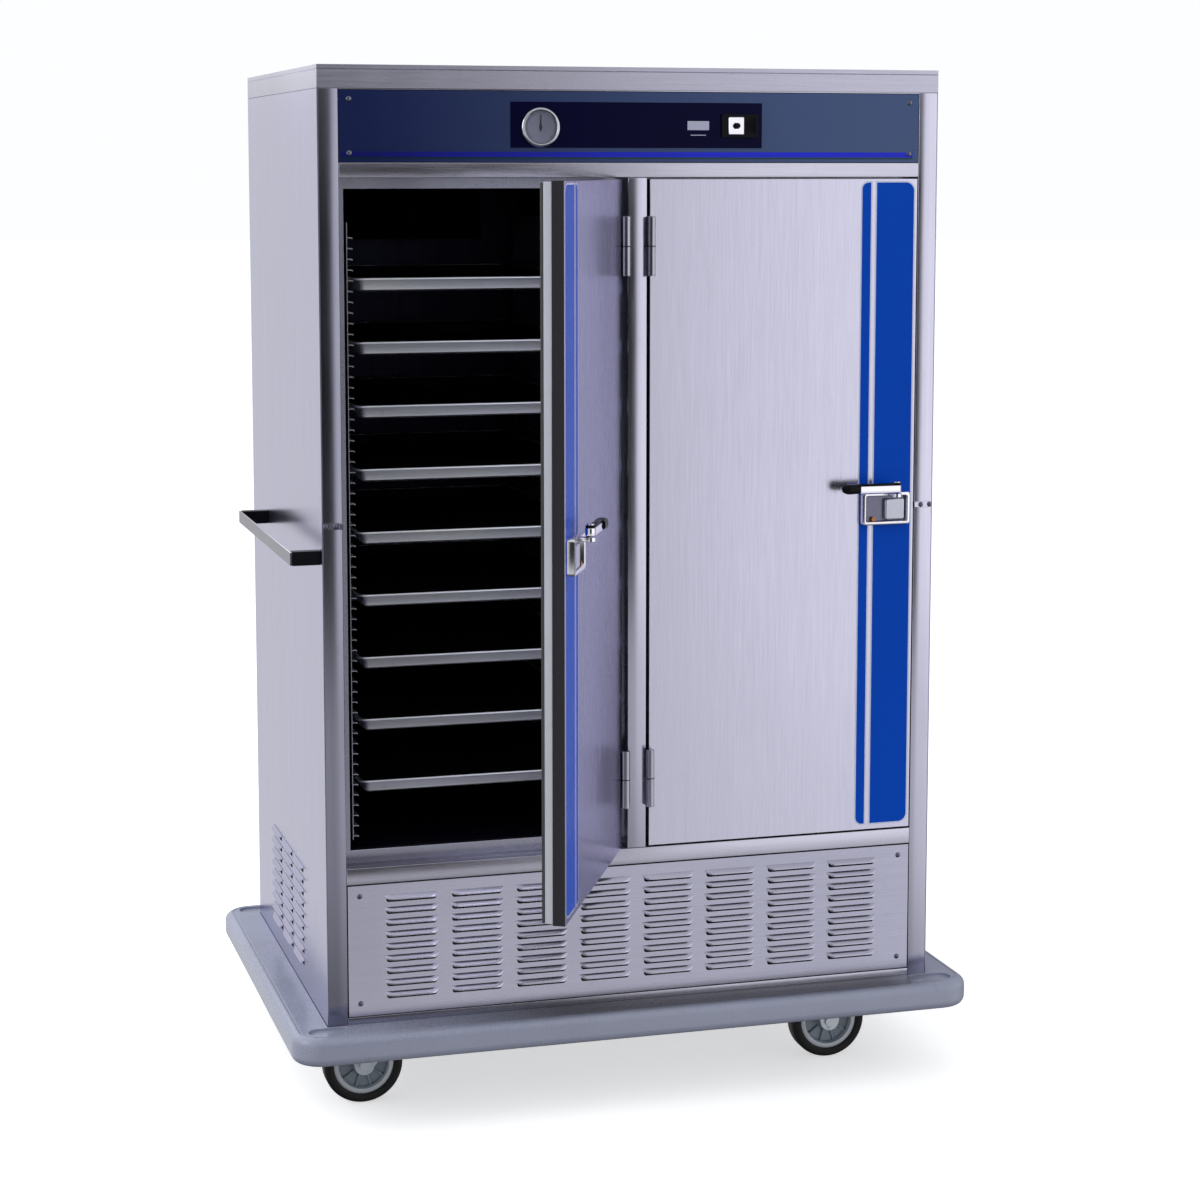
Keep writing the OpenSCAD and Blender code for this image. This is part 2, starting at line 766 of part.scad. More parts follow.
swivel_x = -caster_x - 14 - caster_trail;
fixed_x = caster_x - 14;
module front_fork() { swivel_fork(-caster_y); }
module rear_fork() { swivel_fork(caster_y); }
module front_swivel_hub() { hub(swivel_x, -caster_y); }
module rear_swivel_hub() { hub(swivel_x, caster_y); }
module front_fixed_hub() { hub(fixed_x, -caster_y); }
module rear_fixed_hub() { hub(fixed_x, caster_y); }
module front_swivel_tyre() { tyre(swivel_x, -caster_y); }
module rear_swivel_tyre() { tyre(swivel_x, caster_y); }
module front_fixed_tyre() { tyre(fixed_x, -caster_y); }
module rear_fixed_tyre() { tyre(fixed_x, caster_y); }

// ---- doors, drawn for the right-hand side, closed ----

module door_skin() {
    t = skin;
    color("lightgray") difference() {
        block([door_x0, front, door_z0], [door_x1, front + pan_out_d, door_z1]);
        block([door_x0 + t, front + t, door_z0 + t], [door_x1 - t, front + pan_out_d + 1, door_z1 - t]);
    }
}

module door_foam() {
    t = skin;
    s = pan_step + liner_t;
    color("khaki") {
        block([door_x0 + t, front + t, door_z0 + t], [door_x1 - t, front + pan_out_d, door_z1 - t]);
        block([door_x0 + s, front + pan_out_d - 1, door_z0 + s], [door_x1 - s, door_in - liner_t, door_z1 - s]);
    }
}

module door_pan() {
    s = pan_step;
    t = s + liner_t;
    color("gray") difference() {
        block([door_x0 + s, front + pan_out_d, door_z0 + s], [door_x1 - s, door_in, door_z1 - s]);
        block([door_x0 + t, front + pan_out_d - 1, door_z0 + t], [door_x1 - t, door_in - liner_t, door_z1 - t]);
    }
}

module door_gasket() {
    s = pan_step + 1;
    w = s + gasket_w;
    color("dimgray") difference() {
        block([door_x0 + s, door_in, door_z0 + s], [door_x1 - s, door_in + gasket_d, door_z1 - s]);
        block([door_x0 + w, door_in - 1, door_z0 + w], [door_x1 - w, door_in + gasket_d + 1, door_z1 - w]);
        // hollow bulb of the gasket
        difference() {
            block([door_x0 + s + 3, door_in - 1, door_z0 + s + 3], [door_x1 - s - 3, door_in + 3, door_z1 - s - 3]);
            block([door_x0 + w - 3, door_in - 2, door_z0 + w - 3], [door_x1 - w + 3, door_in + 4, door_z1 - w + 3]);
        }
    }
}

module latch_housing() {
    mid_x = (latch_x0 + latch_x1) / 2;
    color("gainsboro") {
        difference() {
            translate([mid_x, front, latch_z]) rotate([90, 0, 0]) linear_extrude(latch_d)
                soft_rect(latch_w, latch_h, 6);
            translate([mid_x, latch_back + 11, latch_z - 1]) rotate([90, 0, 0]) linear_extrude(20)
                soft_rect(latch_w - 16, latch_h - 16, 4);
        }
        // paddle pad and key cylinder in the recess
        translate([latch_x1 - 27, latch_back + 12, latch_z - 3]) rotate([90, 0, 0]) linear_extrude(10)
            soft_rect(34, latch_h - 24, 5);
        rod_y(latch_x0 + 20, latch_z - latch_h / 2 + 15, 5, latch_back + 3, latch_back + 12);
        // ear and pin that carry the lever
        block([lever_pin_x - 10, lever_pin_y, lever_z - 8], [lever_pin_x + 10, latch_back + 1, lever_z - 0.5]);
        translate([lever_pin_x, lever_pin_y, lever_z - 8]) cylinder(r = 10, h = 7.5);
        translate([lever_pin_x, lever_pin_y, lever_z - 2]) cylinder(r = 4, h = lever_h + 3.5);
        translate([lever_pin_x, lever_pin_y, lever_z + lever_h + 0.5]) cylinder(r = 7, h = 2.5);
    }
}

module latch_lever() {
    color("gainsboro") translate([lever_pin_x, lever_pin_y, lever_z]) difference() {
        union() {
            cylinder(r = 9, h = lever_h);
            block([-lever_l + 16, -7, 1], [0, 5, lever_h - 1]);
            translate([-lever_l + 12, -1, 0]) cylinder(r = 12, h = lever_h);
            block([-lever_l + 12, -13, 0], [-lever_l + 34, 9, lever_h]);
        }
        translate([0, 0, -1]) cylinder(r = 4 + run_fit, h = lever_h + 2);
    }
}

module left_door_skin() { on_left_door() door_skin(); }
module left_door_foam() { on_left_door() door_foam(); }
module left_door_pan() { on_left_door() door_pan(); }
module left_door_gasket() { on_left_door() door_gasket(); }
module left_door_hinges() { on_left_door() door_hinges(); }
module left_latch_housing() { on_left_door() latch_housing(); }
module left_latch_lever() { on_left_door() latch_lever(); }
module right_door_skin() { door_skin(); }
module right_door_foam() { door_foam(); }
module right_door_pan() { door_pan(); }
module right_door_gasket() { door_gasket(); }
module right_door_hinges() { door_hinges(); }
module right_latch_housing() { latch_housing(); }
module right_latch_lever() { latch_lever(); }

base_frame();
bumper();
left_side_panel();
right_side_panel();
back_panel();
top_cap();
face_frame();
stop_frame();
fascia();
control_window();
thermometer_case();
thermometer_dial();
thermometer_lens();
thermometer_needle();
switch_housing();
switch_toggle();
cabinet_insulation();
bay_liner();
bay_divider();
tray_slides();
sheet_pans();
louvre_panel();
compressor();
condenser_coil();
condenser_fan();
fan_motors();
evaporator_coil();
evaporator_fan();
control_box();
power_inlet();
frame_hinges();
latch_strikes();
panel_screws();
push_handle();
handle_brackets();
caster_mounts();
front_fork();
rear_fork();
front_swivel_hub();
rear_swivel_hub();
front_fixed_hub();
rear_fixed_hub();
front_swivel_tyre();
rear_swivel_tyre();
front_fixed_tyre();
rear_fixed_tyre();
left_door_skin();
left_door_foam();
left_door_pan();
left_door_gasket();
left_door_hinges();
left_latch_housing();
left_latch_lever();
right_door_skin();
right_door_foam();
right_door_pan();
right_door_gasket();
right_door_hinges();
right_latch_housing();
right_latch_lever();
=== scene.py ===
import json
import math

import bmesh
import bpy
from mathutils import Matrix, Vector

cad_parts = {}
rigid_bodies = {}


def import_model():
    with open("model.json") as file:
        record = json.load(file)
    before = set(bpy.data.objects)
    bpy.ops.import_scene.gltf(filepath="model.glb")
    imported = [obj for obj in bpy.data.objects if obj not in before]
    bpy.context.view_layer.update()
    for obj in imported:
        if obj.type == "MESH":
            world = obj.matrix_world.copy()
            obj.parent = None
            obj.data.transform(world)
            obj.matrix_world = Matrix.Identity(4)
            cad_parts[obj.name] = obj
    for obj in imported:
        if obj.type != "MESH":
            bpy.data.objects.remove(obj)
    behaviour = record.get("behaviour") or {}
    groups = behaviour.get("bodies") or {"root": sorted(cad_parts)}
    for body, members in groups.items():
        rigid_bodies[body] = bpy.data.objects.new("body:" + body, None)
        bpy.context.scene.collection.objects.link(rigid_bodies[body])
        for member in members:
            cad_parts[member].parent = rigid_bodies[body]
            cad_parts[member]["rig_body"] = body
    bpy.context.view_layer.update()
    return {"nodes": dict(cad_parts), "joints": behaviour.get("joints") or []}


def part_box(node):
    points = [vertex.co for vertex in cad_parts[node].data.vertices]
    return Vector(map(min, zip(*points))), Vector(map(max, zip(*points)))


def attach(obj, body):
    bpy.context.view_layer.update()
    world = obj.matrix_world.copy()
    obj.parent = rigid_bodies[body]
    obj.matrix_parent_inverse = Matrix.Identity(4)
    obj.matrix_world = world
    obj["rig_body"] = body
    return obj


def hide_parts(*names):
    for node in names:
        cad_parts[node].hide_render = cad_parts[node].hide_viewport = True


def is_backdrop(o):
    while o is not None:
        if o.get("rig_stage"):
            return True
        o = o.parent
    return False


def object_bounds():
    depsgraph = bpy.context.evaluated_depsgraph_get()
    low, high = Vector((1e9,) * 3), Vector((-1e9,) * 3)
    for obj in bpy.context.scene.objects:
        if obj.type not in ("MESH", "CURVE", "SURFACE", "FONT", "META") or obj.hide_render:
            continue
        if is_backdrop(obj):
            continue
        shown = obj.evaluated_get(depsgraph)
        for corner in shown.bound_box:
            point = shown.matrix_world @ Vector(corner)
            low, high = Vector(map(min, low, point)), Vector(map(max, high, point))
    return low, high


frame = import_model()
scene = bpy.context.scene


# Places that come from the frame, in metres

def span(node):
    low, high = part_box(node)
    return low.copy(), high.copy()


bodyOf = {name: part["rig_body"] for name, part in frame["nodes"].items()}
jointOf = {joint["name"]: joint for joint in frame["joints"]}
frameLow, frameHigh = span("face_frame")
doorLow, doorHigh = span("right_door_skin")
fasciaLow, fasciaHigh = span("fascia")
ventLow, ventHigh = span("louvre_panel")
windowLow = span("control_window")[0]
front = frameLow.y
hingeX = doorLow.x                      # the hinge line is at the door's inner edge
barrelRadius = 0.008
hingeY = span("frame_hinges")[0].y + barrelRadius
openAngle = -math.radians(jointOf["left_door_hinge"]["range_deg"][0])

# Takes a shape drawn on the closed right door to the open left door
toLeftDoor = (Matrix.Translation((-hingeX, hingeY, 0)) @ Matrix.Rotation(openAngle, 4, "Z")
              @ Matrix.Translation((hingeX, -hingeY, 0)) @ Matrix.Scale(-1, 4, (1, 0, 0)))
doorPlace = {"right": Matrix.Identity(4), "left": toLeftDoor}


# Finishes

def addNode(tree, kind, **settings):
    node = tree.nodes.new(kind)
    for key, value in settings.items():
        setattr(node, key, value)
    return node


def plug(tree, source, target):
    if isinstance(source, (int, float, tuple)):
        target.default_value = source
    else:
        tree.links.new(source, target)


def noiseField(tree, coords, scale, detail=3.0, rough=0.55):
    mapping = addNode(tree, "ShaderNodeMapping")
    mapping.inputs["Scale"].default_value = scale
    plug(tree, coords, mapping.inputs["Vector"])
    noise = addNode(tree, "ShaderNodeTexNoise")
    noise.inputs["Scale"].default_value = 1.0
    noise.inputs["Detail"].default_value = detail
    noise.inputs["Roughness"].default_value = rough
    plug(tree, mapping.outputs["Vector"], noise.inputs["Vector"])
    return noise.outputs["Fac"]


def ranged(tree, value, low, high, toLow, toHigh):
    node = addNode(tree, "ShaderNodeMapRange")
    plug(tree, value, node.inputs["Value"])
    for key, number in (("From Min", low), ("From Max", high), ("To Min", toLow), ("To Max", toHigh)):
        node.inputs[key].default_value = number
    return node.outputs["Result"]


def worked(tree, operation, *values):
    node = addNode(tree, "ShaderNodeMath", operation=operation)
    for k, value in enumerate(values):
        plug(tree, value, node.inputs[k])
    return node.outputs["Value"]


def mixed(tree, share, a, b, kind="RGBA"):
    node = addNode(tree, "ShaderNodeMix", data_type=kind)
    plug(tree, share, node.inputs["Factor"])
    plug(tree, a, node.inputs["A"])
    plug(tree, b, node.inputs["B"])
    return node.outputs["Result"]


def band(tree, value, edges):
    # 1 between the two middle edges, falling to 0 at the outer two
    rise = ranged(tree, value, edges[0], edges[1], 0.0, 1.0)
    return worked(tree, "MULTIPLY", rise, ranged(tree, value, edges[2], edges[3], 1.0, 0.0))


# grain is the way the brush lines run and lines how fine they are; streak and blotch change the colour;
# marks are fine scuffs; the colour ramp along X is painted light: where the second colour takes over,
# lighter or darker as light falls and the studio is reflected; edgeTone is for steel seen edge-on; the
# darker patch is painted shade, given as its bounds in X and in Y and how much colour it leaves
finishes = {
    "doorSteel": dict(colour=(0.585, 0.575, 0.71), rough=0.25, metal=1.0, grain="z", streak=0.04,
                      blotch=0.06, bump=0.006, marks=0.05, edgeTone=(0.55, 0.55, 0.62)),
    "railSteel": dict(colour=(0.51, 0.5, 0.6), rough=0.27, metal=1.0, grain="x", streak=0.1,
                      blotch=0.12, bump=0.006, marks=0.08),
    # postSteel is darker at the left and lighter to the right: a painted reflection
    "postSteel": dict(colour=(0.3, 0.3, 0.38), rough=0.19, metal=1.0, grain="z", streak=0.1,
                      blotch=0.12, bump=0.006, paintedLightFade=(-0.5, 0.12, (0.54, 0.53, 0.65))),
    "stopSteel": dict(colour=(0.36, 0.36, 0.44), rough=0.3, metal=1.0, streak=0.06, blotch=0.12,
                      bump=0.03, lines=700, marks=0.08),
    "capSteel": dict(colour=(0.46, 0.455, 0.56), rough=0.27, metal=1.0, grain="x", streak=0.06,
                     blotch=0.16, bump=0.006),
    "sideSteel": dict(colour=(0.45, 0.445, 0.62), rough=0.22, metal=1.0, grain="z", blotch=0.1,
                      bump=0.006, lines=800, marks=0.05),
    # ventSteel is lighter at the left and darker to the right: painted light
    "ventSteel": dict(colour=(0.54, 0.535, 0.66), rough=0.25, metal=1.0, grain="x", blotch=0.14,
                      bump=0.006, paintedLightFade=(-0.4, 0.4, (0.43, 0.425, 0.54))),
    # the liner is near black as painted shade: the bays get little light inside
    "linerSteel": dict(colour=(0.01, 0.01, 0.026), rough=0.35, metal=0.6, grain="z", streak=0.35,
                       blotch=0.3, lines=700, spec=0.2),
    "ledgeSteel": dict(colour=(0.52, 0.52, 0.6), rough=0.42, metal=1.0, grain="z", streak=0.25,
                       lines=700),
    "panAluminium": dict(colour=(0.88, 0.9, 0.98), rough=0.42, metal=1.0, grain="x", streak=0.1,
                         blotch=0.22, lines=500, marks=0.18),
    # a dark copy of the pan aluminium: painted shade on the pans' inside faces
    "panInside": dict(colour=(0.09, 0.09, 0.12), rough=0.42, metal=1.0, grain="y", streak=0.12,
                      blotch=0.3, bump=0.02, lines=500, marks=0.25),
    # near black as painted shade, so the coil, fans and motors in the dark bay hardly show
    "coilBlack": dict(colour=(0.003, 0.003, 0.006), rough=0.6, streak=0.1, blotch=0.3, bump=0.06,
                      lines=300, spec=0.06),
    "castChrome": dict(colour=(0.8, 0.79, 0.86), rough=0.16, metal=1.0, blotch=0.12, bump=0.03,
                       lines=500, marks=0.08),
    "bezelChrome": dict(colour=(0.52, 0.52, 0.58), rough=0.2, metal=1.0, bump=0.03, lines=500,
                        marks=0.15),
    "hingeSteel": dict(colour=(0.37, 0.36, 0.42), rough=0.24, metal=1.0, grain="z", streak=0.12,
                       blotch=0.18, marks=0.14),
    # the bar's sides are darker than the other steel as painted shade; its top gets chrome as a painted
    # highlight
    "barSteel": dict(colour=(0.14, 0.14, 0.19), rough=0.22, metal=1.0, grain="y", streak=0.12,
                     blotch=0.22, marks=0.16),
    # darkened steel, partly real screw colour and partly painted shade round the heads
    "screwSteel": dict(colour=(0.16, 0.17, 0.22), rough=0.3, metal=1.0, marks=0.2),
    "zincPlate": dict(colour=(0.47, 0.5, 0.56), rough=0.36, metal=0.85, streak=0.1, blotch=0.3,
                      bump=0.06, lines=260, marks=0.2),
    # bumperGrey carries a painted shade band on its top along the cabinet front, standing in for the
    # cabinet's shadow and reflection there
    "bumperGrey": dict(colour=(0.33, 0.355, 0.47), rough=0.28, streak=0.04, blotch=0.14, bump=0.08,
                       lines=420, marks=0.16, spec=0.55,
                       paintedShadeBand=((-0.5, -0.15, 0.5, 0.62), (-0.466, -0.448, -0.35, -0.25), 0.12)),
    # fasciaNavy is darker at the left and brighter to the right: painted light and reflection
    "fasciaNavy": dict(colour=(0.006, 0.015, 0.085), rough=0.2, streak=0.04, blotch=0.18, bump=0.02,
                       lines=600, marks=0.05, spec=0.28, paintedLightFade=(-0.5, 0.5, (0.052, 0.098, 0.245))),
    "windowGloss": dict(colour=(0.0012, 0.0014, 0.028), rough=0.16, streak=0.04, blotch=0.25, bump=0.01,
                        lines=300, marks=0.05, spec=0.05),
    # the blue and teal lines are darker at the left and brighter to the right: painted light and reflection
    "lineBlue": dict(colour=(0.004, 0.006, 0.14), rough=0.3, streak=0.04, blotch=0.12, bump=0.02,
                     lines=600, marks=0.05, spec=0.15, paintedLightFade=(-0.5, 0.15, (0.018, 0.03, 0.72))),
    "lineTeal": dict(colour=(0.004, 0.018, 0.045), rough=0.3, streak=0.04, blotch=0.12, bump=0.02,
                     lines=600, marks=0.05, spec=0.15, paintedLightFade=(-0.45, 0.15, (0.015, 0.07, 0.085))),
    "stripeBlue": dict(colour=(0.0006, 0.076, 0.6), rough=0.34, blotch=0.08, bump=0.02, lines=600,
                       marks=0.05, spec=0.05),
    "stripeEdge": dict(colour=(0.62, 0.66, 0.85), rough=0.3, metal=0.2, blotch=0.1, bump=0.02,
                       lines=600, marks=0.04),
    "labelPrint": dict(colour=(0.5, 0.51, 0.68), rough=0.45, blotch=0.15, bump=0.02, marks=0.2),
    "blackPlastic": dict(colour=(0.004, 0.004, 0.007), rough=0.34, bump=0.1, lines=700, marks=0.05,
                         spec=0.12),
    # near black: painted shade on the folded sides of the door skin
    "doorEdge": dict(colour=(0.012, 0.011, 0.019), rough=0.32, grain="z", streak=0.3, bump=0.05,
                     lines=600, marks=0.05, spec=0.35),
    "tyreBlack": dict(colour=(0.007, 0.006, 0.007), rough=0.55, blotch=0.35, bump=0.25, lines=350,
                      marks=0.05, spec=0.25),
    "wheelGrey": dict(colour=(0.19, 0.23, 0.28), rough=0.4, metal=0.1, blotch=0.22, bump=0.12,
                      lines=350, marks=0.22),
    "rimGrey": dict(colour=(0.45, 0.48, 0.53), rough=0.36, metal=0.2, blotch=0.18, bump=0.1, lines=350,
                    marks=0.18),
    "gasketGrey": dict(colour=(0.055, 0.055, 0.062), rough=0.55, bump=0.18, lines=500, marks=0.05),
    "breakerGrey": dict(colour=(0.62, 0.64, 0.72), rough=0.35, metal=0.2, blotch=0.1, lines=500),
    "innerSteel": dict(colour=(0.66, 0.67, 0.73), rough=0.32, metal=1.0, grain="z", streak=0.08,
                       blotch=0.1, marks=0.08),
    "foamCut": dict(colour=(0.62, 0.5, 0.24), rough=0.85, bump=0.45, lines=260, marks=0.25),
    "enamelBlack": dict(colour=(0.01, 0.01, 0.013), rough=0.32, blotch=0.25, bump=0.08, lines=240,
                        marks=0.05, spec=0.25),
    # a darkened copper, partly real copper and partly painted shade for the coil behind the louvres
    "finCopper": dict(colour=(0.2, 0.095, 0.05), rough=0.4, metal=1.0, grain="x", streak=0.2,
                      blotch=0.3, bump=0.06, lines=500, marks=0.35),
    "boxGrey": dict(colour=(0.15, 0.155, 0.17), rough=0.46, blotch=0.18, bump=0.14, lines=420,
                    marks=0.15),
    "dialFace": dict(colour=(0.25, 0.25, 0.33), rough=0.42, metal=0.1, blotch=0.3, bump=0.02,
                     marks=0.25),
    "dialInk": dict(colour=(0.015, 0.015, 0.03), rough=0.5, blotch=0.15, bump=0.02, marks=0.05),
    "keyBrass": dict(colour=(0.42, 0.17, 0.06), rough=0.32, metal=1.0, blotch=0.3, bump=0.05, marks=0.2),
    "padGrey": dict(colour=(0.46, 0.47, 0.55), rough=0.26, metal=1.0, blotch=0.14, bump=0.03, lines=700,
                    marks=0.08),
    # darker than the pad and bezel: painted shade in the latch recess
    "recessGrey": dict(colour=(0.19, 0.19, 0.26), rough=0.34, metal=0.9, bump=0.05, lines=700,
                       marks=0.12),
}


# what every finish shares: the scales of its noise, in waves per metre, and how far each moves the gloss
surface = dict(longGrain=0.012, wideShare=0.11, cloud=(2.3, 2.3, 1.7), scuff=(38, 38, 23), fineGloss=0.14,
               cloudGloss=0.12, gritDeep=0.0004)


def makeFinish(name, colour, rough, metal=0.0, grain=None, streak=0.05, blotch=0.2, bump=0.04, lines=900,
               marks=0.1, spec=0.5, paintedLightFade=None, edgeTone=None, paintedShadeBand=None):
    finish = bpy.data.materials.new(name)
    finish.use_nodes = True
    finish.diffuse_color = (*colour, 1)
    tree = finish.node_tree
    shader = tree.nodes["Principled BSDF"]
    place = addNode(tree, "ShaderNodeTexCoord").outputs["Object"]
    # brushed: fine across the grain, long along it
    along = [surface["longGrain"] if axis == grain else 1 for axis in "xyz"]
    fine = noiseField(tree, place, [lines * a for a in along], 2.0)
    wide = noiseField(tree, place, [lines * surface["wideShare"] * a for a in along], 4.0)
    cloud = noiseField(tree, place, surface["cloud"], 3.0, 0.6)
    scuff = noiseField(tree, place, surface["scuff"], 6.0, 0.72)
    tone = worked(tree, "ADD", ranged(tree, wide, 0.25, 0.75, 1 - streak / 2, 1 + streak / 2),
                  ranged(tree, cloud, 0.3, 0.7, -blotch / 2, blotch / 2))
    tone = worked(tree, "MULTIPLY", tone, ranged(tree, scuff, 0.60, 0.78, 1.0, 1.0 - marks))
    if paintedLightFade or paintedShadeBand:
        where = addNode(tree, "ShaderNodeSeparateXYZ")
        plug(tree, place, where.inputs["Vector"])
    toned = addNode(tree, "ShaderNodeVectorMath", operation="SCALE")
    toned.inputs[0].default_value = colour
    # painted light: the base colour ramps to a second colour along X, standing in for light and reflection
    # across the part
    if paintedLightFade:
        start, end, paintedLightColour = paintedLightFade
        share = ranged(tree, where.outputs["X"], start, end, 0.0, 1.0)
        plug(tree, mixed(tree, share, (*colour, 1), (*paintedLightColour, 1)), toned.inputs[0])
    # painted shade: the colour is darkened inside a band in X and in Y
    if paintedShadeBand:
        acrossEdges, deepEdges, left = paintedShadeBand
        paintedShadeMask = worked(tree, "MULTIPLY", band(tree, where.outputs["X"], acrossEdges),
                      band(tree, where.outputs["Y"], deepEdges))
        tone = worked(tree, "MULTIPLY", tone, ranged(tree, paintedShadeMask, 0.0, 1.0, 1.0, left))
    plug(tree, tone, toned.inputs["Scale"])
    plug(tree, toned.outputs["Vector"], shader.inputs["Base Color"])
    fineBy, cloudBy = rough * surface["fineGloss"], rough * surface["cloudGloss"]
    gloss = worked(tree, "ADD", ranged(tree, fine, 0.3, 0.7, rough - fineBy, rough + fineBy),
                   ranged(tree, cloud, 0.3, 0.7, -cloudBy, cloudBy))
    plug(tree, gloss, shader.inputs["Roughness"])
    grit = addNode(tree, "ShaderNodeBump")
    grit.inputs["Strength"].default_value = bump
    grit.inputs["Distance"].default_value = surface["gritDeep"]
    plug(tree, fine, grit.inputs["Height"])
    plug(tree, grit.outputs["Normal"], shader.inputs["Normal"])
    shader.inputs["Metallic"].default_value = metal
    shader.inputs["Specular IOR Level"].default_value = spec
    if edgeTone:  # steel seen edge-on goes dull
        shader.inputs["Specular Tint"].default_value = (*edgeTone, 1)
    return finish


def makeLensGlass():
    finish = bpy.data.materials.new("lensGlass")
    finish.use_nodes = True
    tree = finish.node_tree
    shader = tree.nodes["Principled BSDF"]
    place = addNode(tree, "ShaderNodeTexCoord").outputs["Object"]
    smear = noiseField(tree, place, (60, 60, 60), 4.0)
    plug(tree, ranged(tree, smear, 0.3, 0.8, 0.02, 0.10), shader.inputs["Roughness"])
    shader.inputs["Base Color"].default_value = (0.95, 0.97, 1.0, 1)
    shader.inputs["Transmission Weight"].default_value = 1.0
    shader.inputs["IOR"].default_value = 1.12
    return finish


paint = {name: makeFinish(name, **settings) for name, settings in finishes.items()}
paint["lensGlass"] = makeLensGlass()
print("finishes made:", len(paint))


# Shapes. Everything is drawn in place, so a finished piece's object stays at the origin

def pour(target, source, place=None):
    mesh = bpy.data.meshes.new("pour")
    source.to_mesh(mesh)
    source.free()
    if place is not None:
        mesh.transform(place)
    target.from_mesh(mesh)
    bpy.data.meshes.remove(mesh)


def softBox(target, low, high, soft=0.0006, rounds=2, place=None):
    box = bmesh.new()
    size = [abs(b - a) for a, b in zip(low, high)]
    middle = [(a + b) / 2 for a, b in zip(low, high)]
    bmesh.ops.create_cube(box, size=1, matrix=Matrix.Translation(middle) @ Matrix.Diagonal((*size, 1)))
    soft = min(soft, min(size) * 0.45)
    bmesh.ops.bevel(box, geom=box.edges[:], offset=soft, segments=rounds, profile=0.5, affect="EDGES",
                    clamp_overlap=True)
    pour(target, box, place)


def loft(target, rings, capFirst=False, capLast=False, joinEnds=False, place=None):
    shape = bmesh.new()
    rows = [[shape.verts.new(p) for p in ring] for ring in rings]
    pairs = list(zip(rows, rows[1:])) + ([(rows[-1], rows[0])] if joinEnds else [])
    for a, b in pairs:
        for i in range(len(a)):
            j = (i + 1) % len(a)
            shape.faces.new((a[i], a[j], b[j], b[i]))
    if capFirst:
        shape.faces.new(list(reversed(rows[0])))
    if capLast:
        shape.faces.new(rows[-1])
    pour(target, shape, place)


def spin(target, profile, centre, axis="y", steps=64, closed=True, place=None):
    # profile is a list of (radius, distance along the axis)
    turn = {"x": Matrix.Rotation(math.pi / 2, 4, "Y"), "y": Matrix.Rotation(-math.pi / 2, 4, "X"),
            "z": Matrix.Identity(4)}[axis]
    rings = []
    for radius, along in profile:
        rings.append([turn @ Vector((radius * math.cos(t), radius * math.sin(t), along)) + Vector(centre)
                      for t in (2 * math.pi * k / steps for k in range(steps))])
    loft(target, rings, joinEnds=closed, capFirst=not closed, capLast=not closed, place=place)


def roundOutline(x0, x1, z0, z1, radii, steps=8):
    # radii go round from the low corner at x0: (x0, z0), (x1, z0), (x1, z1), (x0, z1)
    corners = [(x0, z0, 1, 1, 180), (x1, z0, -1, 1, 270), (x1, z1, -1, -1, 0), (x0, z1, 1, -1, 90)]
    points = []
    for (x, z, sx, sz, start), r in zip(corners, radii):
        if r <= 0:
            points.append((x, z))
            continue
        for k in range(steps + 1):
            a = math.radians(start + 90 * k / steps)
            points.append((x + sx * r + r * math.cos(a), z + sz * r + r * math.sin(a)))
    return points


def frontPlate(target, outline, yBack, yFront, soft=0.0, place=None):
    # a plate that faces -Y; its front edge is eased inwards by soft
    def ring(y, inset):
        cx = sum(p[0] for p in outline) / len(outline)
        cz = sum(p[1] for p in outline) / len(outline)
        halfX = max(abs(p[0] - cx) for p in outline)
        halfZ = max(abs(p[1] - cz) for p in outline)
        return [Vector((cx + (x - cx) * (1 - inset / halfX), y, cz + (z - cz) * (1 - inset / halfZ)))
                for x, z in outline]
    rings = [ring(yBack, 0)]
    if soft:
        for k in range(4):
            a = math.pi / 2 * k / 3
            rings.append(ring(yFront + soft * (1 - math.sin(a)), soft * (1 - math.cos(a))))
        rings.append(ring(yFront, soft * 1.3))
    else:
        rings.append(ring(yFront, 0))
    loft(target, rings, capFirst=True, capLast=True, place=place)


def finishPiece(name, shape, finish, body, standsFor=(), crease=32, place=None):
    mesh = bpy.data.meshes.new(name)
    if place is not None:
        bmesh.ops.transform(shape, matrix=place, verts=shape.verts)
    bmesh.ops.recalc_face_normals(shape, faces=shape.faces)
    shape.to_mesh(mesh)
    shape.free()
    return placeMesh(name, mesh, finish, body, standsFor, crease)


def placeMesh(name, mesh, finish, body, standsFor=(), crease=32):
    mesh.name = name
    piece = bpy.data.objects.new(name, mesh)
    scene.collection.objects.link(piece)
    mesh.materials.clear()
    for item in ([finish] if isinstance(finish, str) else finish):
        mesh.materials.append(paint[item])
    for face in mesh.polygons:
        face.use_smooth = True
    mesh.set_sharp_from_angle(angle=math.radians(crease))
    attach(piece, body)
    if standsFor:
        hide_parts(*standsFor)
    return piece


def mergedCopy(node):
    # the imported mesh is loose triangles, so a copy is merged and its flat faces joined
    shape = bmesh.new()
    shape.from_mesh(frame["nodes"][node].data)
    bmesh.ops.remove_doubles(shape, verts=shape.verts, dist=2e-6)
    bmesh.ops.dissolve_limit(shape, angle_limit=math.radians(0.6), verts=shape.verts, edges=shape.edges,
                             delimit={"NORMAL"})
    return shape


def dress(node, name, finish, edge=0.0006, crease=32, rounds=2):
    # the part's own shape with its edges eased
    shape = mergedCopy(node)
    mesh = bpy.data.meshes.new(name)
    shape.to_mesh(mesh)
    shape.free()
    piece = placeMesh(name, mesh, finish, bodyOf[node], [node], crease)
    if edge:
        ease = piece.modifiers.new("ease", "BEVEL")
        ease.width = edge
        ease.segments = rounds
        ease.limit_method = "ANGLE"
        ease.angle_limit = math.radians(40)
        ease.harden_normals = False
    return piece


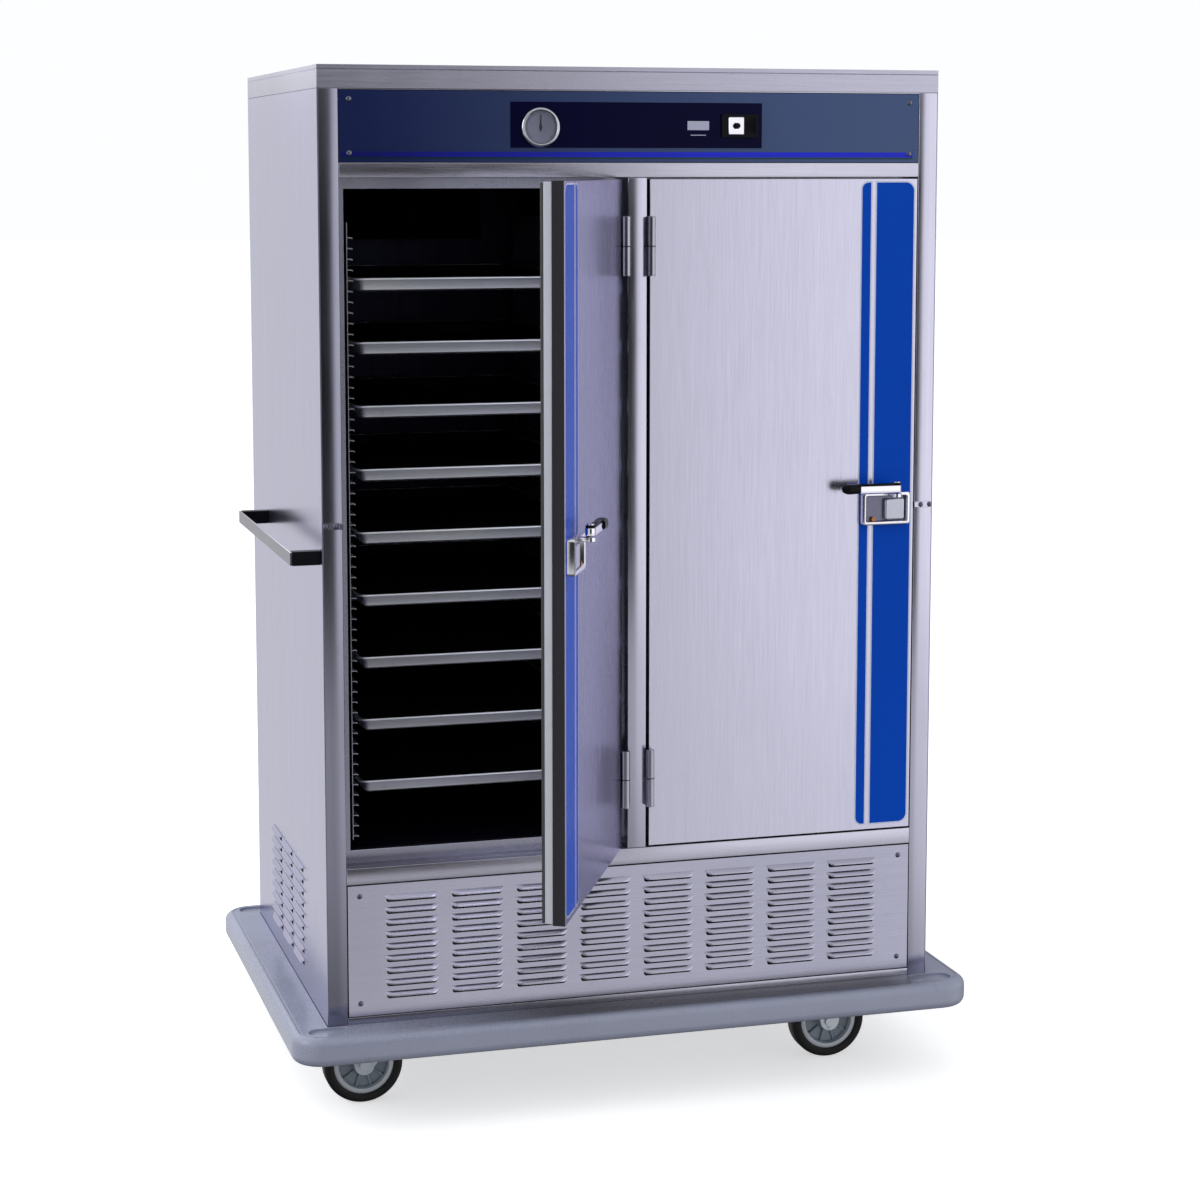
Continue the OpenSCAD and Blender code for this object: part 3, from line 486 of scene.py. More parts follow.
def islandMiddles(node):
    # middle of each separate body in a part, such as each screw
    shape = mergedCopy(node)
    left = set(shape.verts)
    middles = []
    while left:
        stack = [left.pop()]
        group = []
        while stack:
            v = stack.pop()
            group.append(v.co.copy())
            for e in v.link_edges:
                w = e.other_vert(v)
                if w in left:
                    left.discard(w)
                    stack.append(w)
        low = Vector([min(c[i] for c in group) for i in range(3)])
        high = Vector([max(c[i] for c in group) for i in range(3)])
        middles.append((low + high) / 2)
    shape.free()
    return sorted(middles, key=lambda m: (round(m.x, 4), round(m.y, 4), round(m.z, 4)))


# Geometry Nodes

def newTree(name, inputs):
    tree = bpy.data.node_groups.new(name, "GeometryNodeTree")
    tree.interface.new_socket("Geometry", in_out="OUTPUT", socket_type="NodeSocketGeometry")
    tree.interface.new_socket("Geometry", in_out="INPUT", socket_type="NodeSocketGeometry")
    kinds = {float: "NodeSocketFloat", int: "NodeSocketInt", str: "NodeSocketMaterial"}
    for label, kind in inputs.items():
        tree.interface.new_socket(label, in_out="INPUT", socket_type=kinds[kind])
    tree.nodes.new("NodeGroupInput")
    tree.nodes.new("NodeGroupOutput")
    return tree, tree.nodes["Group Input"].outputs, tree.nodes["Group Output"].inputs


def geo(tree, kind, links=None, **settings):
    node = addNode(tree, kind, **settings)
    for key, value in (links or {}).items():
        plug(tree, value, node.inputs[key])
    return node


def joined(tree, *parts):
    join = tree.nodes.new("GeometryNodeJoinGeometry")
    for part in parts:
        tree.links.new(part, join.inputs["Geometry"])
    return join.outputs["Geometry"]


def settled(tree, out, shapes, finish):
    # ends a tree in plain geometry that carries its finish
    real = geo(tree, "GeometryNodeRealizeInstances", {"Geometry": shapes})
    done = geo(tree, "GeometryNodeSetMaterial", {"Geometry": real.outputs["Geometry"], "Material": finish})
    tree.links.new(done.outputs["Geometry"], out["Geometry"])
    return tree


def vec(tree, x=0.0, y=0.0, z=0.0):
    return geo(tree, "ShaderNodeCombineXYZ", {"X": x, "Y": y, "Z": z}).outputs["Vector"]


def grown(name, tree, settings, seedMesh=None):
    # runs a tree on a mesh and returns the plain result
    seed = bpy.data.objects.new(name + "Seed", seedMesh or bpy.data.meshes.new(name + "Seed"))
    scene.collection.objects.link(seed)
    grow = seed.modifiers.new("grow", "NODES")
    grow.node_group = tree
    for item in tree.interface.items_tree:
        if item.in_out == "INPUT" and item.name in settings:
            value = settings[item.name]
            grow[item.identifier] = paint[value] if isinstance(value, str) else value
    bpy.context.view_layer.update()
    graph = bpy.context.evaluated_depsgraph_get()
    mesh = bpy.data.meshes.new_from_object(seed.evaluated_get(graph), depsgraph=graph)
    seed.modifiers.clear()
    bpy.data.objects.remove(seed)
    return mesh


# Pressed louvres, drawn on a sheet in XY that faces +Z

louvres = dict(rows=9, length=0.100, pitchAcross=0.125, pitchUp=0.023, rise=0.0065, drop=0.0018,
               slotDrop=0.0066, standOut=0.0066, sheet=0.0012, aboveMiddle=0.004)


def louvreTree():
    tree, given, out = newTree("pressedLouvres", {
        "Sheet Width": float, "Sheet Height": float, "Sheet Thickness": float, "Columns": int, "Rows": int,
        "Pitch Across": float, "Pitch Up": float, "Louvre Length": float, "Rise": float, "Drop": float,
        "Slot Drop": float, "Stand Out": float, "Group X": float, "Group Y": float, "Finish": str})
    count = lambda n: worked(tree, "SUBTRACT", n, 1.0)
    spots = geo(tree, "GeometryNodeMeshGrid", {
        "Size X": worked(tree, "MULTIPLY", count(given["Columns"]), given["Pitch Across"]),
        "Size Y": worked(tree, "MULTIPLY", count(given["Rows"]), given["Pitch Up"]),
        "Vertices X": given["Columns"], "Vertices Y": given["Rows"]})
    points = geo(tree, "GeometryNodeMeshToPoints", {"Mesh": spots.outputs["Mesh"]})
    shifted = geo(tree, "GeometryNodeSetPosition", {
        "Geometry": points.outputs["Points"], "Offset": vec(tree, given["Group X"], given["Group Y"])})
    # the sheet with a slot under each hood
    sheet = geo(tree, "GeometryNodeCurvePrimitiveQuadrilateral", {
        "Width": given["Sheet Width"], "Height": given["Sheet Height"]})
    slotHigh = worked(tree, "ADD", given["Slot Drop"], worked(tree, "MULTIPLY", given["Rise"], 0.7))
    slot = geo(tree, "GeometryNodeCurvePrimitiveQuadrilateral", {
        "Width": worked(tree, "MULTIPLY", given["Louvre Length"], 0.95), "Height": slotHigh})
    slotRound = geo(tree, "GeometryNodeFilletCurve", {
        "Curve": slot.outputs["Curve"], "Radius": worked(tree, "MULTIPLY", slotHigh, 0.45), "Count": 4,
        "Limit Radius": True}, mode="POLY")
    slotDown = geo(tree, "GeometryNodeTransform", {
        "Geometry": slotRound.outputs["Curve"], "Translation": vec(tree, 0.0, worked(
            tree, "SUBTRACT", worked(tree, "MULTIPLY", slotHigh, 0.5), given["Slot Drop"]))})
    slots = geo(tree, "GeometryNodeInstanceOnPoints", {
        "Points": shifted.outputs["Geometry"], "Instance": slotDown.outputs["Geometry"]})
    realSlots = geo(tree, "GeometryNodeRealizeInstances", {"Geometry": slots.outputs["Instances"]})
    outlines = joined(tree, realSlots.outputs["Geometry"], sheet.outputs["Curve"])
    filled = geo(tree, "GeometryNodeFillCurve", {"Curve": outlines}, mode="TRIANGLES")
    backwards = geo(tree, "GeometryNodeFlipFaces", {"Mesh": filled.outputs["Mesh"]})
    thick = geo(tree, "GeometryNodeExtrudeMesh", {
        "Mesh": backwards.outputs["Mesh"], "Offset Scale": given["Sheet Thickness"], "Individual": False})
    # the hood: a patch that swells out towards its lip and closes at both ends
    patch = geo(tree, "GeometryNodeMeshGrid", {
        "Size X": given["Louvre Length"], "Size Y": 1.0, "Vertices X": 17, "Vertices Y": 5})
    position = geo(tree, "GeometryNodeInputPosition").outputs["Position"]
    at = geo(tree, "ShaderNodeSeparateXYZ", {"Vector": position})
    across = worked(tree, "ABSOLUTE", worked(tree, "DIVIDE", at.outputs["X"], worked(
        tree, "MULTIPLY", given["Louvre Length"], 0.5)))
    ends = worked(tree, "SQRT", worked(tree, "MAXIMUM", 0.0, worked(
        tree, "SUBTRACT", 1.0, worked(tree, "POWER", across, 14.0))))
    down = worked(tree, "SUBTRACT", 0.5, at.outputs["Y"])     # 0 at the fold, 1 at the lip
    swell = worked(tree, "SINE", worked(tree, "MULTIPLY", down, math.pi / 2))
    outBy = worked(tree, "MULTIPLY", worked(tree, "MULTIPLY", swell, ends), given["Stand Out"])
    tall = worked(tree, "ADD", given["Rise"], given["Drop"])
    curl = worked(tree, "ADD", 0.25, worked(tree, "MULTIPLY", ends, 0.75))
    low = worked(tree, "MULTIPLY", worked(tree, "MULTIPLY", down, tall), curl)
    bent = geo(tree, "GeometryNodeSetPosition", {
        "Geometry": patch.outputs["Mesh"], "Position": vec(tree, at.outputs["X"], worked(
            tree, "SUBTRACT", given["Rise"], low), outBy)})
    skinUp = geo(tree, "GeometryNodeExtrudeMesh", {
        "Mesh": bent.outputs["Geometry"], "Offset Scale": 0.0008, "Individual": False})
    underside = geo(tree, "GeometryNodeFlipFaces", {"Mesh": bent.outputs["Geometry"]})
    shell = joined(tree, skinUp.outputs["Mesh"], underside.outputs["Mesh"])
    hoods = geo(tree, "GeometryNodeInstanceOnPoints", {
        "Points": shifted.outputs["Geometry"], "Instance": shell})
    slotted = joined(tree, thick.outputs["Mesh"], filled.outputs["Mesh"])
    return settled(tree, out, joined(tree, hoods.outputs["Instances"], slotted), given["Finish"])


louvreGroup = louvreTree()


def louvredSheet(name, node, facing, columns, groupX, finish, low, high):
    # facing turns the sheet's +Z to the way it faces; low and high are its corners in the frame
    right, outward = facing
    size = high - low
    width = abs(size.dot(right))
    middle = (low + high) / 2
    ventMiddle = (ventLow.z + ventHigh.z) / 2 + louvres["aboveMiddle"]
    mesh = grown(name, louvreGroup, {
        "Sheet Width": width, "Sheet Height": size.z, "Sheet Thickness": louvres["sheet"],
        "Columns": columns, "Rows": louvres["rows"],
        "Pitch Across": louvres["pitchAcross"], "Pitch Up": louvres["pitchUp"],
        "Louvre Length": louvres["length"], "Rise": louvres["rise"], "Drop": louvres["drop"],
        "Slot Drop": louvres["slotDrop"], "Stand Out": louvres["standOut"], "Group X": groupX,
        "Group Y": ventMiddle - middle.z, "Finish": finish})
    up = Vector((0, 0, 1))
    face = middle + outward * (abs(size.dot(outward)) / 2)
    turn = Matrix((right, up, outward)).transposed().to_4x4()
    mesh.transform(Matrix.Translation(face) @ turn)
    return placeMesh(name, mesh, finish, bodyOf[node], [node], 40)


sideFacing = (Vector((0, -1, 0)), Vector((-1, 0, 0)))
frontFacing = (Vector((1, 0, 0)), Vector((0, -1, 0)))
backFacing = (Vector((-1, 0, 0)), Vector((0, 1, 0)))


panels = dict(underCap=0.0006, frontSheet=0.0015, sideShift=-0.020, backShift=0.180)


def makePanels():
    sideLow, sideHigh = span("right_side_panel")
    thick = sideHigh.x - sideLow.x
    top = sideHigh.z - panels["underCap"]
    low = Vector((-sideHigh.x, sideLow.y, sideLow.z))
    high = Vector((-sideHigh.x + thick, sideHigh.y, top))
    louvredSheet("leftSidePanel", "left_side_panel", sideFacing, 3, panels["sideShift"], "sideSteel",
                 low, high)
    low = Vector((ventLow.x, front, ventLow.z))
    high = Vector((ventHigh.x, front + panels["frontSheet"], ventHigh.z))
    louvredSheet("frontLouvrePanel", "louvre_panel", frontFacing, 8, 0.0, "ventSteel", low, high)
    low = Vector((-sideLow.x, sideHigh.y - thick, sideLow.z))
    high = Vector((sideLow.x, sideHigh.y, top))
    louvredSheet("backPanel", "back_panel", backFacing, 4, panels["backShift"], "sideSteel", low, high)
    dress("right_side_panel", "rightSidePanel", "sideSteel", 0.0005)
    print("outer sheets made")


# Face frame: separate folded bars, so the seams between them show

faceFrame = dict(mullion=0.036, seam=0.0003, ease=0.0012, doorGap=0.003, fasciaGap=0.001, ventGap=0.002,
                 headerSetBack=0.001)


def makeFaceFrame():
    gap, fasciaGap = faceFrame["doorGap"], faceFrame["fasciaGap"]
    holeX = fasciaHigh.x + fasciaGap
    head, sill = doorHigh.z + gap, doorLow.z - gap
    fasciaBottom, fasciaTop = fasciaLow.z - fasciaGap, fasciaHigh.z + fasciaGap
    ventTop, ventBottom = ventHigh.z + faceFrame["ventGap"], ventLow.z - faceFrame["ventGap"]
    half = faceFrame["mullion"] / 2
    seam, ease = faceFrame["seam"], faceFrame["ease"]
    y0, y1 = frameLow.y, frameHigh.y
    posts, rails = bmesh.new(), bmesh.new()
    for s in (-1, 1):
        low, high = sorted((s * frameHigh.x, s * holeX))
        softBox(posts, (low, y0, frameLow.z), (high, y1, frameHigh.z), ease, 3)
    softBox(posts, (-half, y0, sill + seam), (half, y1, head - seam), ease, 3)
    for low, high in ((head, fasciaBottom), (ventTop, sill), (frameLow.z, ventBottom)):
        softBox(rails, (-holeX + seam, y0, low), (holeX - seam, y1, high), ease, 3)
    softBox(rails, (-holeX + seam, y0 + faceFrame["headerSetBack"], fasciaTop),
            (holeX - seam, y1, frameHigh.z), 0.0004)
    finishPiece("framePosts", posts, "postSteel", "cabinet", ["face_frame"])
    finishPiece("frameRails", rails, "railSteel", "cabinet")
    print("face frame made")


# Doors

stripe = dict(narrow=(0.4450, 0.4625), wide=(0.4745, 0.5500), low=0.501, high=1.742, corner=0.016,
              edge=0.0028, film=0.0002)


def makeStripes(side):
    blue, edge = bmesh.new(), bmesh.new()
    r, rim, film = stripe["corner"], stripe["edge"], stripe["film"]
    z0, z1 = stripe["low"], stripe["high"]
    bars = ((*stripe["narrow"], (r * 0.8, 0, 0, r * 0.8)), (*stripe["wide"], (0, r, r, 0)))
    for x0, x1, radii in bars:
        grow = [a + rim if a else 0 for a in radii]
        outer = roundOutline(x0 - rim, x1 + rim, z0 - rim, z1 + rim, grow)
        frontPlate(edge, outer, front + film, front - film)
        frontPlate(blue, roundOutline(x0, x1, z0, z1, radii), front + film, front - 2 * film)
    finishPiece(side + "StripeEdge", edge, "stripeEdge", side + "_door", place=doorPlace[side])
    finishPiece(side + "Stripe", blue, "stripeBlue", side + "_door", place=doorPlace[side])


latch = dict(rim=0.008, roundness=0.006, depth=0.0150, floor=0.0045, padWidth=0.040, padGap=0.0035,
             earHalf=0.010, earHigh=0.007, keyRadius=0.0042, keyLong=0.0078, keyIn=0.024, keyUp=0.0038,
             keyBack=0.0115)


def makeLatch(side):
    place = doorPlace[side]
    # the closed right-hand place of the housing, read from the right door's own part
    low, high = span("right_latch_housing")
    leverLow, leverHigh = span("right_latch_lever")
    x0, x1 = low.x, high.x
    z0, z1 = low.z, leverLow.z - 0.001
    back, face = front, front - latch["depth"]
    rim, r = latch["rim"], latch["roundness"]
    body = side + "_door"
    # bezel: a rounded frame swept round the recess
    profile = ((0.0, back), (0.0, face + 0.004), (0.0012, face + 0.0012), (0.004, face),
               (rim - 0.0015, face + 0.0006), (rim, face + 0.003), (rim + 0.0012, face + 0.0105))
    rings = []
    for inset, y in profile:
        outline = roundOutline(x0 + inset, x1 - inset, z0 + inset, z1 - inset,
                               [max(r - inset * 0.4, 0.002)] * 4, 6)
        rings.append([Vector((x, y, z)) for x, z in outline])
    bezel = bmesh.new()
    loft(bezel, rings)
    # ear and pin that carry the lever
    pinX, pinY = leverPin
    half, earTop = latch["earHalf"], z1 - 0.0005
    softBox(bezel, (pinX - half, pinY, z1 - latch["earHigh"]),
            (pinX + half, face + 0.001, earTop), 0.001, 2)
    spin(bezel, [(0.0001, -0.007), (0.0095, -0.007), (half, -0.0065), (half, 0.0), (0.0001, 0.0)],
         (pinX, pinY, earTop), "z", 32, False)
    spin(bezel, [(0.0001, 0), (0.0062, 0), (0.007, 0.0007), (0.0066, 0.0022), (0.0045, 0.003),
                 (0.0001, 0.003)], (pinX, pinY, leverHigh.z), "z", 32, False)
    finishPiece(side + "LatchBezel", bezel, "castChrome", body,
                [side + "_latch_housing"], 38, place)
    # the recess floor gets the darker finish, painted shade
    recess = bmesh.new()
    inner = roundOutline(x0 + rim, x1 - rim, z0 + rim, z1 - rim, [0.003] * 4, 5)
    frontPlate(recess, inner, back + 0.0002, back - latch["floor"])
    finishPiece(side + "LatchRecess", recess, "recessGrey", body, place=place)
    pad = bmesh.new()
    padX1 = x1 - rim - latch["padGap"]
    padX0 = padX1 - latch["padWidth"]
    frontPlate(pad, roundOutline(padX0, padX1, z0 + rim + 0.002, z1 - rim - 0.005, [0.004] * 4, 6),
               back - 0.004, face + 0.0015, 0.0025)
    finishPiece(side + "LatchPad", pad, "padGrey", body, place=place)
    key = bmesh.new()
    k, long = latch["keyRadius"], latch["keyLong"]
    barrel = [(0.0001, 0.0), (k, 0.0), (k, long - 0.0008), (k - 0.0008, long), (0.0016, long),
              (0.0014, long - 0.0016), (0.0001, long - 0.0016)]
    keyAt = (x0 + latch["keyIn"], back - latch["keyBack"], z0 + rim + latch["keyUp"])
    spin(key, barrel[::-1], keyAt, "y", 28, False)
    finishPiece(side + "LatchKey", key, "keyBrass", body, place=place)


leverPin = jointOf["right_latch_pull"]["pos_m"][:2]
lever = dict(grip=0.034, nose=0.009, noseSteps=12, gripRings=14, gripPoints=28, gripHalfY=0.0112,
             gripHalfZ=0.0094)


def squarish(value):
    # makes a circle's coordinate fuller, so a round section turns into a soft square
    return math.copysign(abs(value) ** 0.65, value)


def makeLever(side):
    low, high = span("right_latch_lever")
    place = doorPlace[side]
    body = side + "_lever"
    gripEnd = low.x + lever["grip"]
    # the arm: a flat bar with a full nose at the pivot
    arm = bmesh.new()
    noseX, midY = leverPin
    steps = lever["noseSteps"]
    rings = []
    for z, inset in ((low.z + 0.0006, 0.0016), (low.z + 0.0016, 0.0004), (low.z + 0.004, 0.0),
                     (high.z - 0.006, 0.0), (high.z - 0.0046, 0.0006)):
        outline = [Vector((gripEnd - 0.004, midY + 0.006 - inset, z)),
                   Vector((gripEnd - 0.004, midY - 0.0075 + inset, z))]
        radius = lever["nose"] - inset
        for k in range(steps + 1):
            a = -math.pi / 2 + math.pi * k / steps
            outline.append(Vector((noseX + radius * math.cos(a), midY + radius * math.sin(a), z)))
        rings.append(outline)
    loft(arm, rings, True, True)
    finishPiece(side + "LeverArm", arm, "castChrome", body,
                [side + "_latch_lever"], 38, place)
    strip = bmesh.new()
    softBox(strip, (gripEnd - 0.004, midY - 0.0068, high.z - 0.0046),
            (noseX - 0.002, midY + 0.0052, high.z - 0.0004), 0.0012, 2)
    spin(strip, [(0.0055, 0.0), (0.0085, 0.0), (0.0085, 0.0036), (0.0078, 0.0043), (0.0055, 0.0043)],
         (noseX, midY, high.z - 0.0046), "z", 32)
    finishPiece(side + "LeverTop", strip, "blackPlastic", body, place=place)
    # the grip: a soft oval that swells at its end
    grip = bmesh.new()
    midZ = (low.z + high.z) / 2
    points, roundUntil = lever["gripPoints"], 0.38     # the share of its length that is the round end
    rings = []
    for k in range(lever["gripRings"] + 1):
        t = k / lever["gripRings"]
        x = low.x + 0.0003 + (lever["grip"] + 0.001) * t
        if t < roundUntil:
            swell = math.sin(math.acos(max(-1.0, min(1.0, 1 - 2.6 * t))))
        else:
            swell = 1.0 - 0.12 * (t - roundUntil)
        halfY, halfZ = lever["gripHalfY"] * swell + 0.0002, lever["gripHalfZ"] * swell + 0.0002
        ring = []
        for a in (2 * math.pi * m / points for m in range(points)):
            ring.append(Vector((x, midY - 0.001 + halfY * squarish(math.cos(a)),
                                midZ + halfZ * squarish(math.sin(a)))))
        rings.append(ring)
    loft(grip, rings, True, True)
    finishPiece(side + "LeverGrip", grip, "blackPlastic", body, place=place)


washer = dict(belowMiddle=0.0277, hole=0.0042, radius=0.0083, half=0.0007)


def makeHingeWashers():
    # the dark washer between the two halves of each hinge barrel
    hole, radius, half = washer["hole"], washer["radius"], washer["half"]
    washers = bmesh.new()
    for middle in islandMiddles("right_door_hinges"):
        for s in (-1, 1):
            spin(washers, [(hole, -half), (radius, -half), (radius, half), (hole, half)],
                 (s * hingeX, hingeY, middle.z - washer["belowMiddle"]), "z", 36)
    finishPiece("hingeWashers", washers, "blackPlastic", "cabinet")


def makeDoors():
    for side in ("right", "left"):
        outward = (doorPlace[side].to_3x3() @ Vector((0, -1, 0))).normalized()
        # the folded sides of the skin get a near-black finish, painted shade for the gap round the door
        for node, name, finishNames in (("_door_skin", "DoorSkin", ["doorSteel", "doorEdge"]),
                                        ("_door_pan", "DoorPan", ["innerSteel", "breakerGrey"])):
            shell = dress(side + node, side + name, finishNames, 0.0016, 32, 3)
            for face in shell.data.polygons:
                face.material_index = 1 if abs(face.normal.dot(outward)) < 0.5 else 0
        dress(side + "_door_foam", side + "DoorFoam", "foamCut", 0)
        dress(side + "_door_gasket", side + "DoorGasket", "gasketGrey", 0.0012, 32, 3)
        dress(side + "_door_hinges", side + "DoorHinges", "hingeSteel", 0.0007)
        makeStripes(side)
        makeLatch(side)
        makeLever(side)
    makeHingeWashers()
    print("doors, stripes, latches and levers made")


# Control fascia

controls = dict(blueLine=(0.0090, 0.0185), tealLine=(0.0056, 0.0084), fromLeft=0.004, fromRight=0.012,
                ink=0.0002, labelWide=0.0420, labelHigh=0.0165, labelGap=0.024, labelDrop=0.008)


def makeFascia():
    dress("fascia", "fasciaPanel", "fasciaNavy", 0.0004)
    dress("control_window", "controlWindow", "windowGloss", 0.0003)
    low, high, ink = fasciaLow, fasciaHigh, controls["ink"]
    for name, finish, (bottom, top) in (("fasciaLine", "lineBlue", controls["blueLine"]),
                                        ("fasciaUnderline", "lineTeal", controls["tealLine"])):
        line = bmesh.new()
        softBox(line, (low.x + controls["fromLeft"], low.y - ink, low.z + bottom),
                (high.x - controls["fromRight"], low.y + ink, low.z + top), 0.00005, 1)
        finishPiece(name, line, finish, "cabinet")
    housingLow, housingHigh = span("switch_housing")
    wide, y = controls["labelWide"], windowLow.y
    x = housingLow.x - controls["labelGap"] - wide
    z = (housingLow.z + housingHigh.z) / 2 - controls["labelDrop"]
    label = bmesh.new()
    softBox(label, (x, y - 0.0003, z), (x + wide, y + ink, z + controls["labelHigh"]), 0.0001, 1)
    softBox(label, (x + 0.006, y - ink, z - 0.010), (x + 0.036, y + ink, z - 0.0086), 0.00005, 1)
    finishPiece("controlLabel", label, "labelPrint", "cabinet")


# profiles are (radius, how far out); the bezel's are how far inside the case's own radius
thermometer = dict(
    bezel=[(0.0075, -0.001), (0.0010, -0.001), (0.0002, 0.0), (0.0, 0.002), (0.0004, 0.0045),
           (0.0014, 0.0068), (0.0030, 0.0084), (0.0048, 0.0089), (0.0062, 0.0082), (0.0070, 0.0070),
           (0.0075, 0.0055)],
    sleeve=[(0.0095, -0.001), (0.0085, -0.001), (0.0085, -0.022), (0.0095, -0.022)],
    dialInset=0.0076, ticks=41, firstTick=-45, sweep=270, tickLong=0.0038, tickShort=0.0022,
    tickWide=0.0006)


def makeThermometer():
    caseLow, caseHigh = span("thermometer_case")
    cx, cz = (caseLow.x + caseHigh.x) / 2, (caseLow.z + caseHigh.z) / 2
    middle = (cx, windowLow.y, cz)
    r = (caseHigh.x - caseLow.x) / 2
    bezel = bmesh.new()
    for part, steps in (("bezel", 96), ("sleeve", 64)):
        spin(bezel, [(r - inset, -out) for inset, out in thermometer[part]], middle, "y", steps)
    finishPiece("thermometerBezel", bezel, "bezelChrome", "cabinet",
                ["thermometer_case"], 40)
    dialR = r - thermometer["dialInset"]
    face = bmesh.new()
    spin(face, [(0.0001, -0.0030), (dialR * 0.80, -0.0030), (dialR * 0.82, -0.0034), (dialR, -0.0034),
                (dialR, -0.0018), (0.0001, -0.0018)], middle, "y", 96, False)
    finishPiece("thermometerDial", face, "dialFace", "cabinet", ["thermometer_dial"], 40)
    ticks = grown("dialTicks", tickTree(), {
        "Count": thermometer["ticks"], "Start Angle": math.radians(thermometer["firstTick"]),
        "Sweep": math.radians(thermometer["sweep"]), "Radius": dialR * 0.90,
        "Long": thermometer["tickLong"], "Short": thermometer["tickShort"],
        "Wide": thermometer["tickWide"], "Finish": "dialInk"})
    onDial = Matrix.Translation((cx, windowLow.y - 0.0036, cz))
    ticks.transform(onDial @ Matrix.Rotation(math.pi / 2, 4, "X"))
    placeMesh("thermometerTicks", ticks, "dialInk", "cabinet")
    dress("thermometer_needle", "thermometerNeedle", "dialInk", 0.0001)
    lens = bmesh.new()
    spin(lens, [(0.0001, -0.0086), (dialR * 0.5, -0.0084), (dialR, -0.0076), (dialR, -0.0066),
                (0.0001, -0.0070)], middle, "y", 64, False)
    finishPiece("thermometerLens", lens, "lensGlass", "cabinet", ["thermometer_lens"], 40)


switch = dict(halfWide=0.0150, halfHigh=0.0160, corner=0.0015, shrink=0.94, collar=0.0072, hole=0.0066)


def makeSwitch():
    # black surround, bright plate, black toggle
    housingLow, housingHigh = span("switch_housing")
    toggleLow, toggleHigh = span("switch_toggle")
    dress("switch_housing", "switchHousing", "blackPlastic", 0.0008)
    midX, midZ = (toggleLow.x + toggleHigh.x) / 2, (housingLow.z + housingHigh.z) / 2
    wide, tall, shrink = switch["halfWide"], switch["halfHigh"], switch["shrink"]
    outer = roundOutline(midX - wide, midX + wide, midZ - tall, midZ + tall, [switch["corner"]] * 4, 5)

    def square(y, scale=1.0):
        return [Vector((midX + (x - midX) * scale, y, midZ + (z - midZ) * scale)) for x, z in outer]

    def circle(y, radius):
        angles = [math.atan2(z - midZ, x - midX) for x, z in outer]
        return [Vector((midX + radius * math.cos(a), y, midZ + radius * math.sin(a))) for a in angles]

    y = housingLow.y
    plate = bmesh.new()
    loft(plate, [square(y + 0.0011), square(y - 0.0004), square(y - 0.0014, shrink),
                 circle(y - 0.0014, switch["collar"]), circle(y - 0.0008, switch["hole"]),
                 circle(y + 0.0011, switch["hole"])], joinEnds=True)
    finishPiece("switchPlate", plate, "castChrome", "cabinet")
    dress("switch_toggle", "switchToggle", "blackPlastic", 0.0003)


def makeControls():
    makeFascia()
    makeThermometer()
    makeSwitch()
    print("controls made")


def tickTree():
    # a fan of short bars round a dial; every fifth bar is longer
    tree, given, out = newTree("dialTicks", {
        "Count": int, "Start Angle": float, "Sweep": float, "Radius": float, "Long": float, "Short": float,
        "Wide": float, "Finish": str})
    line = geo(tree, "GeometryNodeMeshLine", {"Count": given["Count"], "Offset": (0.001, 0, 0)})
    index = geo(tree, "GeometryNodeInputIndex").outputs["Index"]
    share = worked(tree, "DIVIDE", index, worked(tree, "SUBTRACT", given["Count"], 1.0))
    angle = worked(tree, "ADD", given["Start Angle"], worked(tree, "MULTIPLY", share, given["Sweep"]))
    spot = vec(tree, worked(tree, "MULTIPLY", worked(tree, "COSINE", angle), given["Radius"]),
               worked(tree, "MULTIPLY", worked(tree, "SINE", angle), given["Radius"]))
    fan = geo(tree, "GeometryNodeSetPosition", {"Geometry": line.outputs["Mesh"], "Position": spot})
    fifth = worked(tree, "COMPARE", worked(tree, "MODULO", index, 5.0), 0.0, 0.5)
    long = worked(tree, "ADD", given["Short"], worked(
        tree, "MULTIPLY", fifth, worked(tree, "SUBTRACT", given["Long"], given["Short"])))
    bar = geo(tree, "GeometryNodeMeshCube", {"Size": vec(tree, 1.0, given["Wide"], 0.0002)})
    bars = geo(tree, "GeometryNodeInstanceOnPoints", {
        "Points": fan.outputs["Geometry"], "Instance": bar.outputs["Mesh"],
        "Rotation": vec(tree, 0.0, 0.0, angle), "Scale": vec(tree, long, 1.0, 1.0)})
    return settled(tree, out, bars.outputs["Instances"], given["Finish"])


# Screws at the places the frame gives

screw = dict(radius=0.0052, high=0.0024, slotWide=0.0011, sunk=0.0011, seed=4)


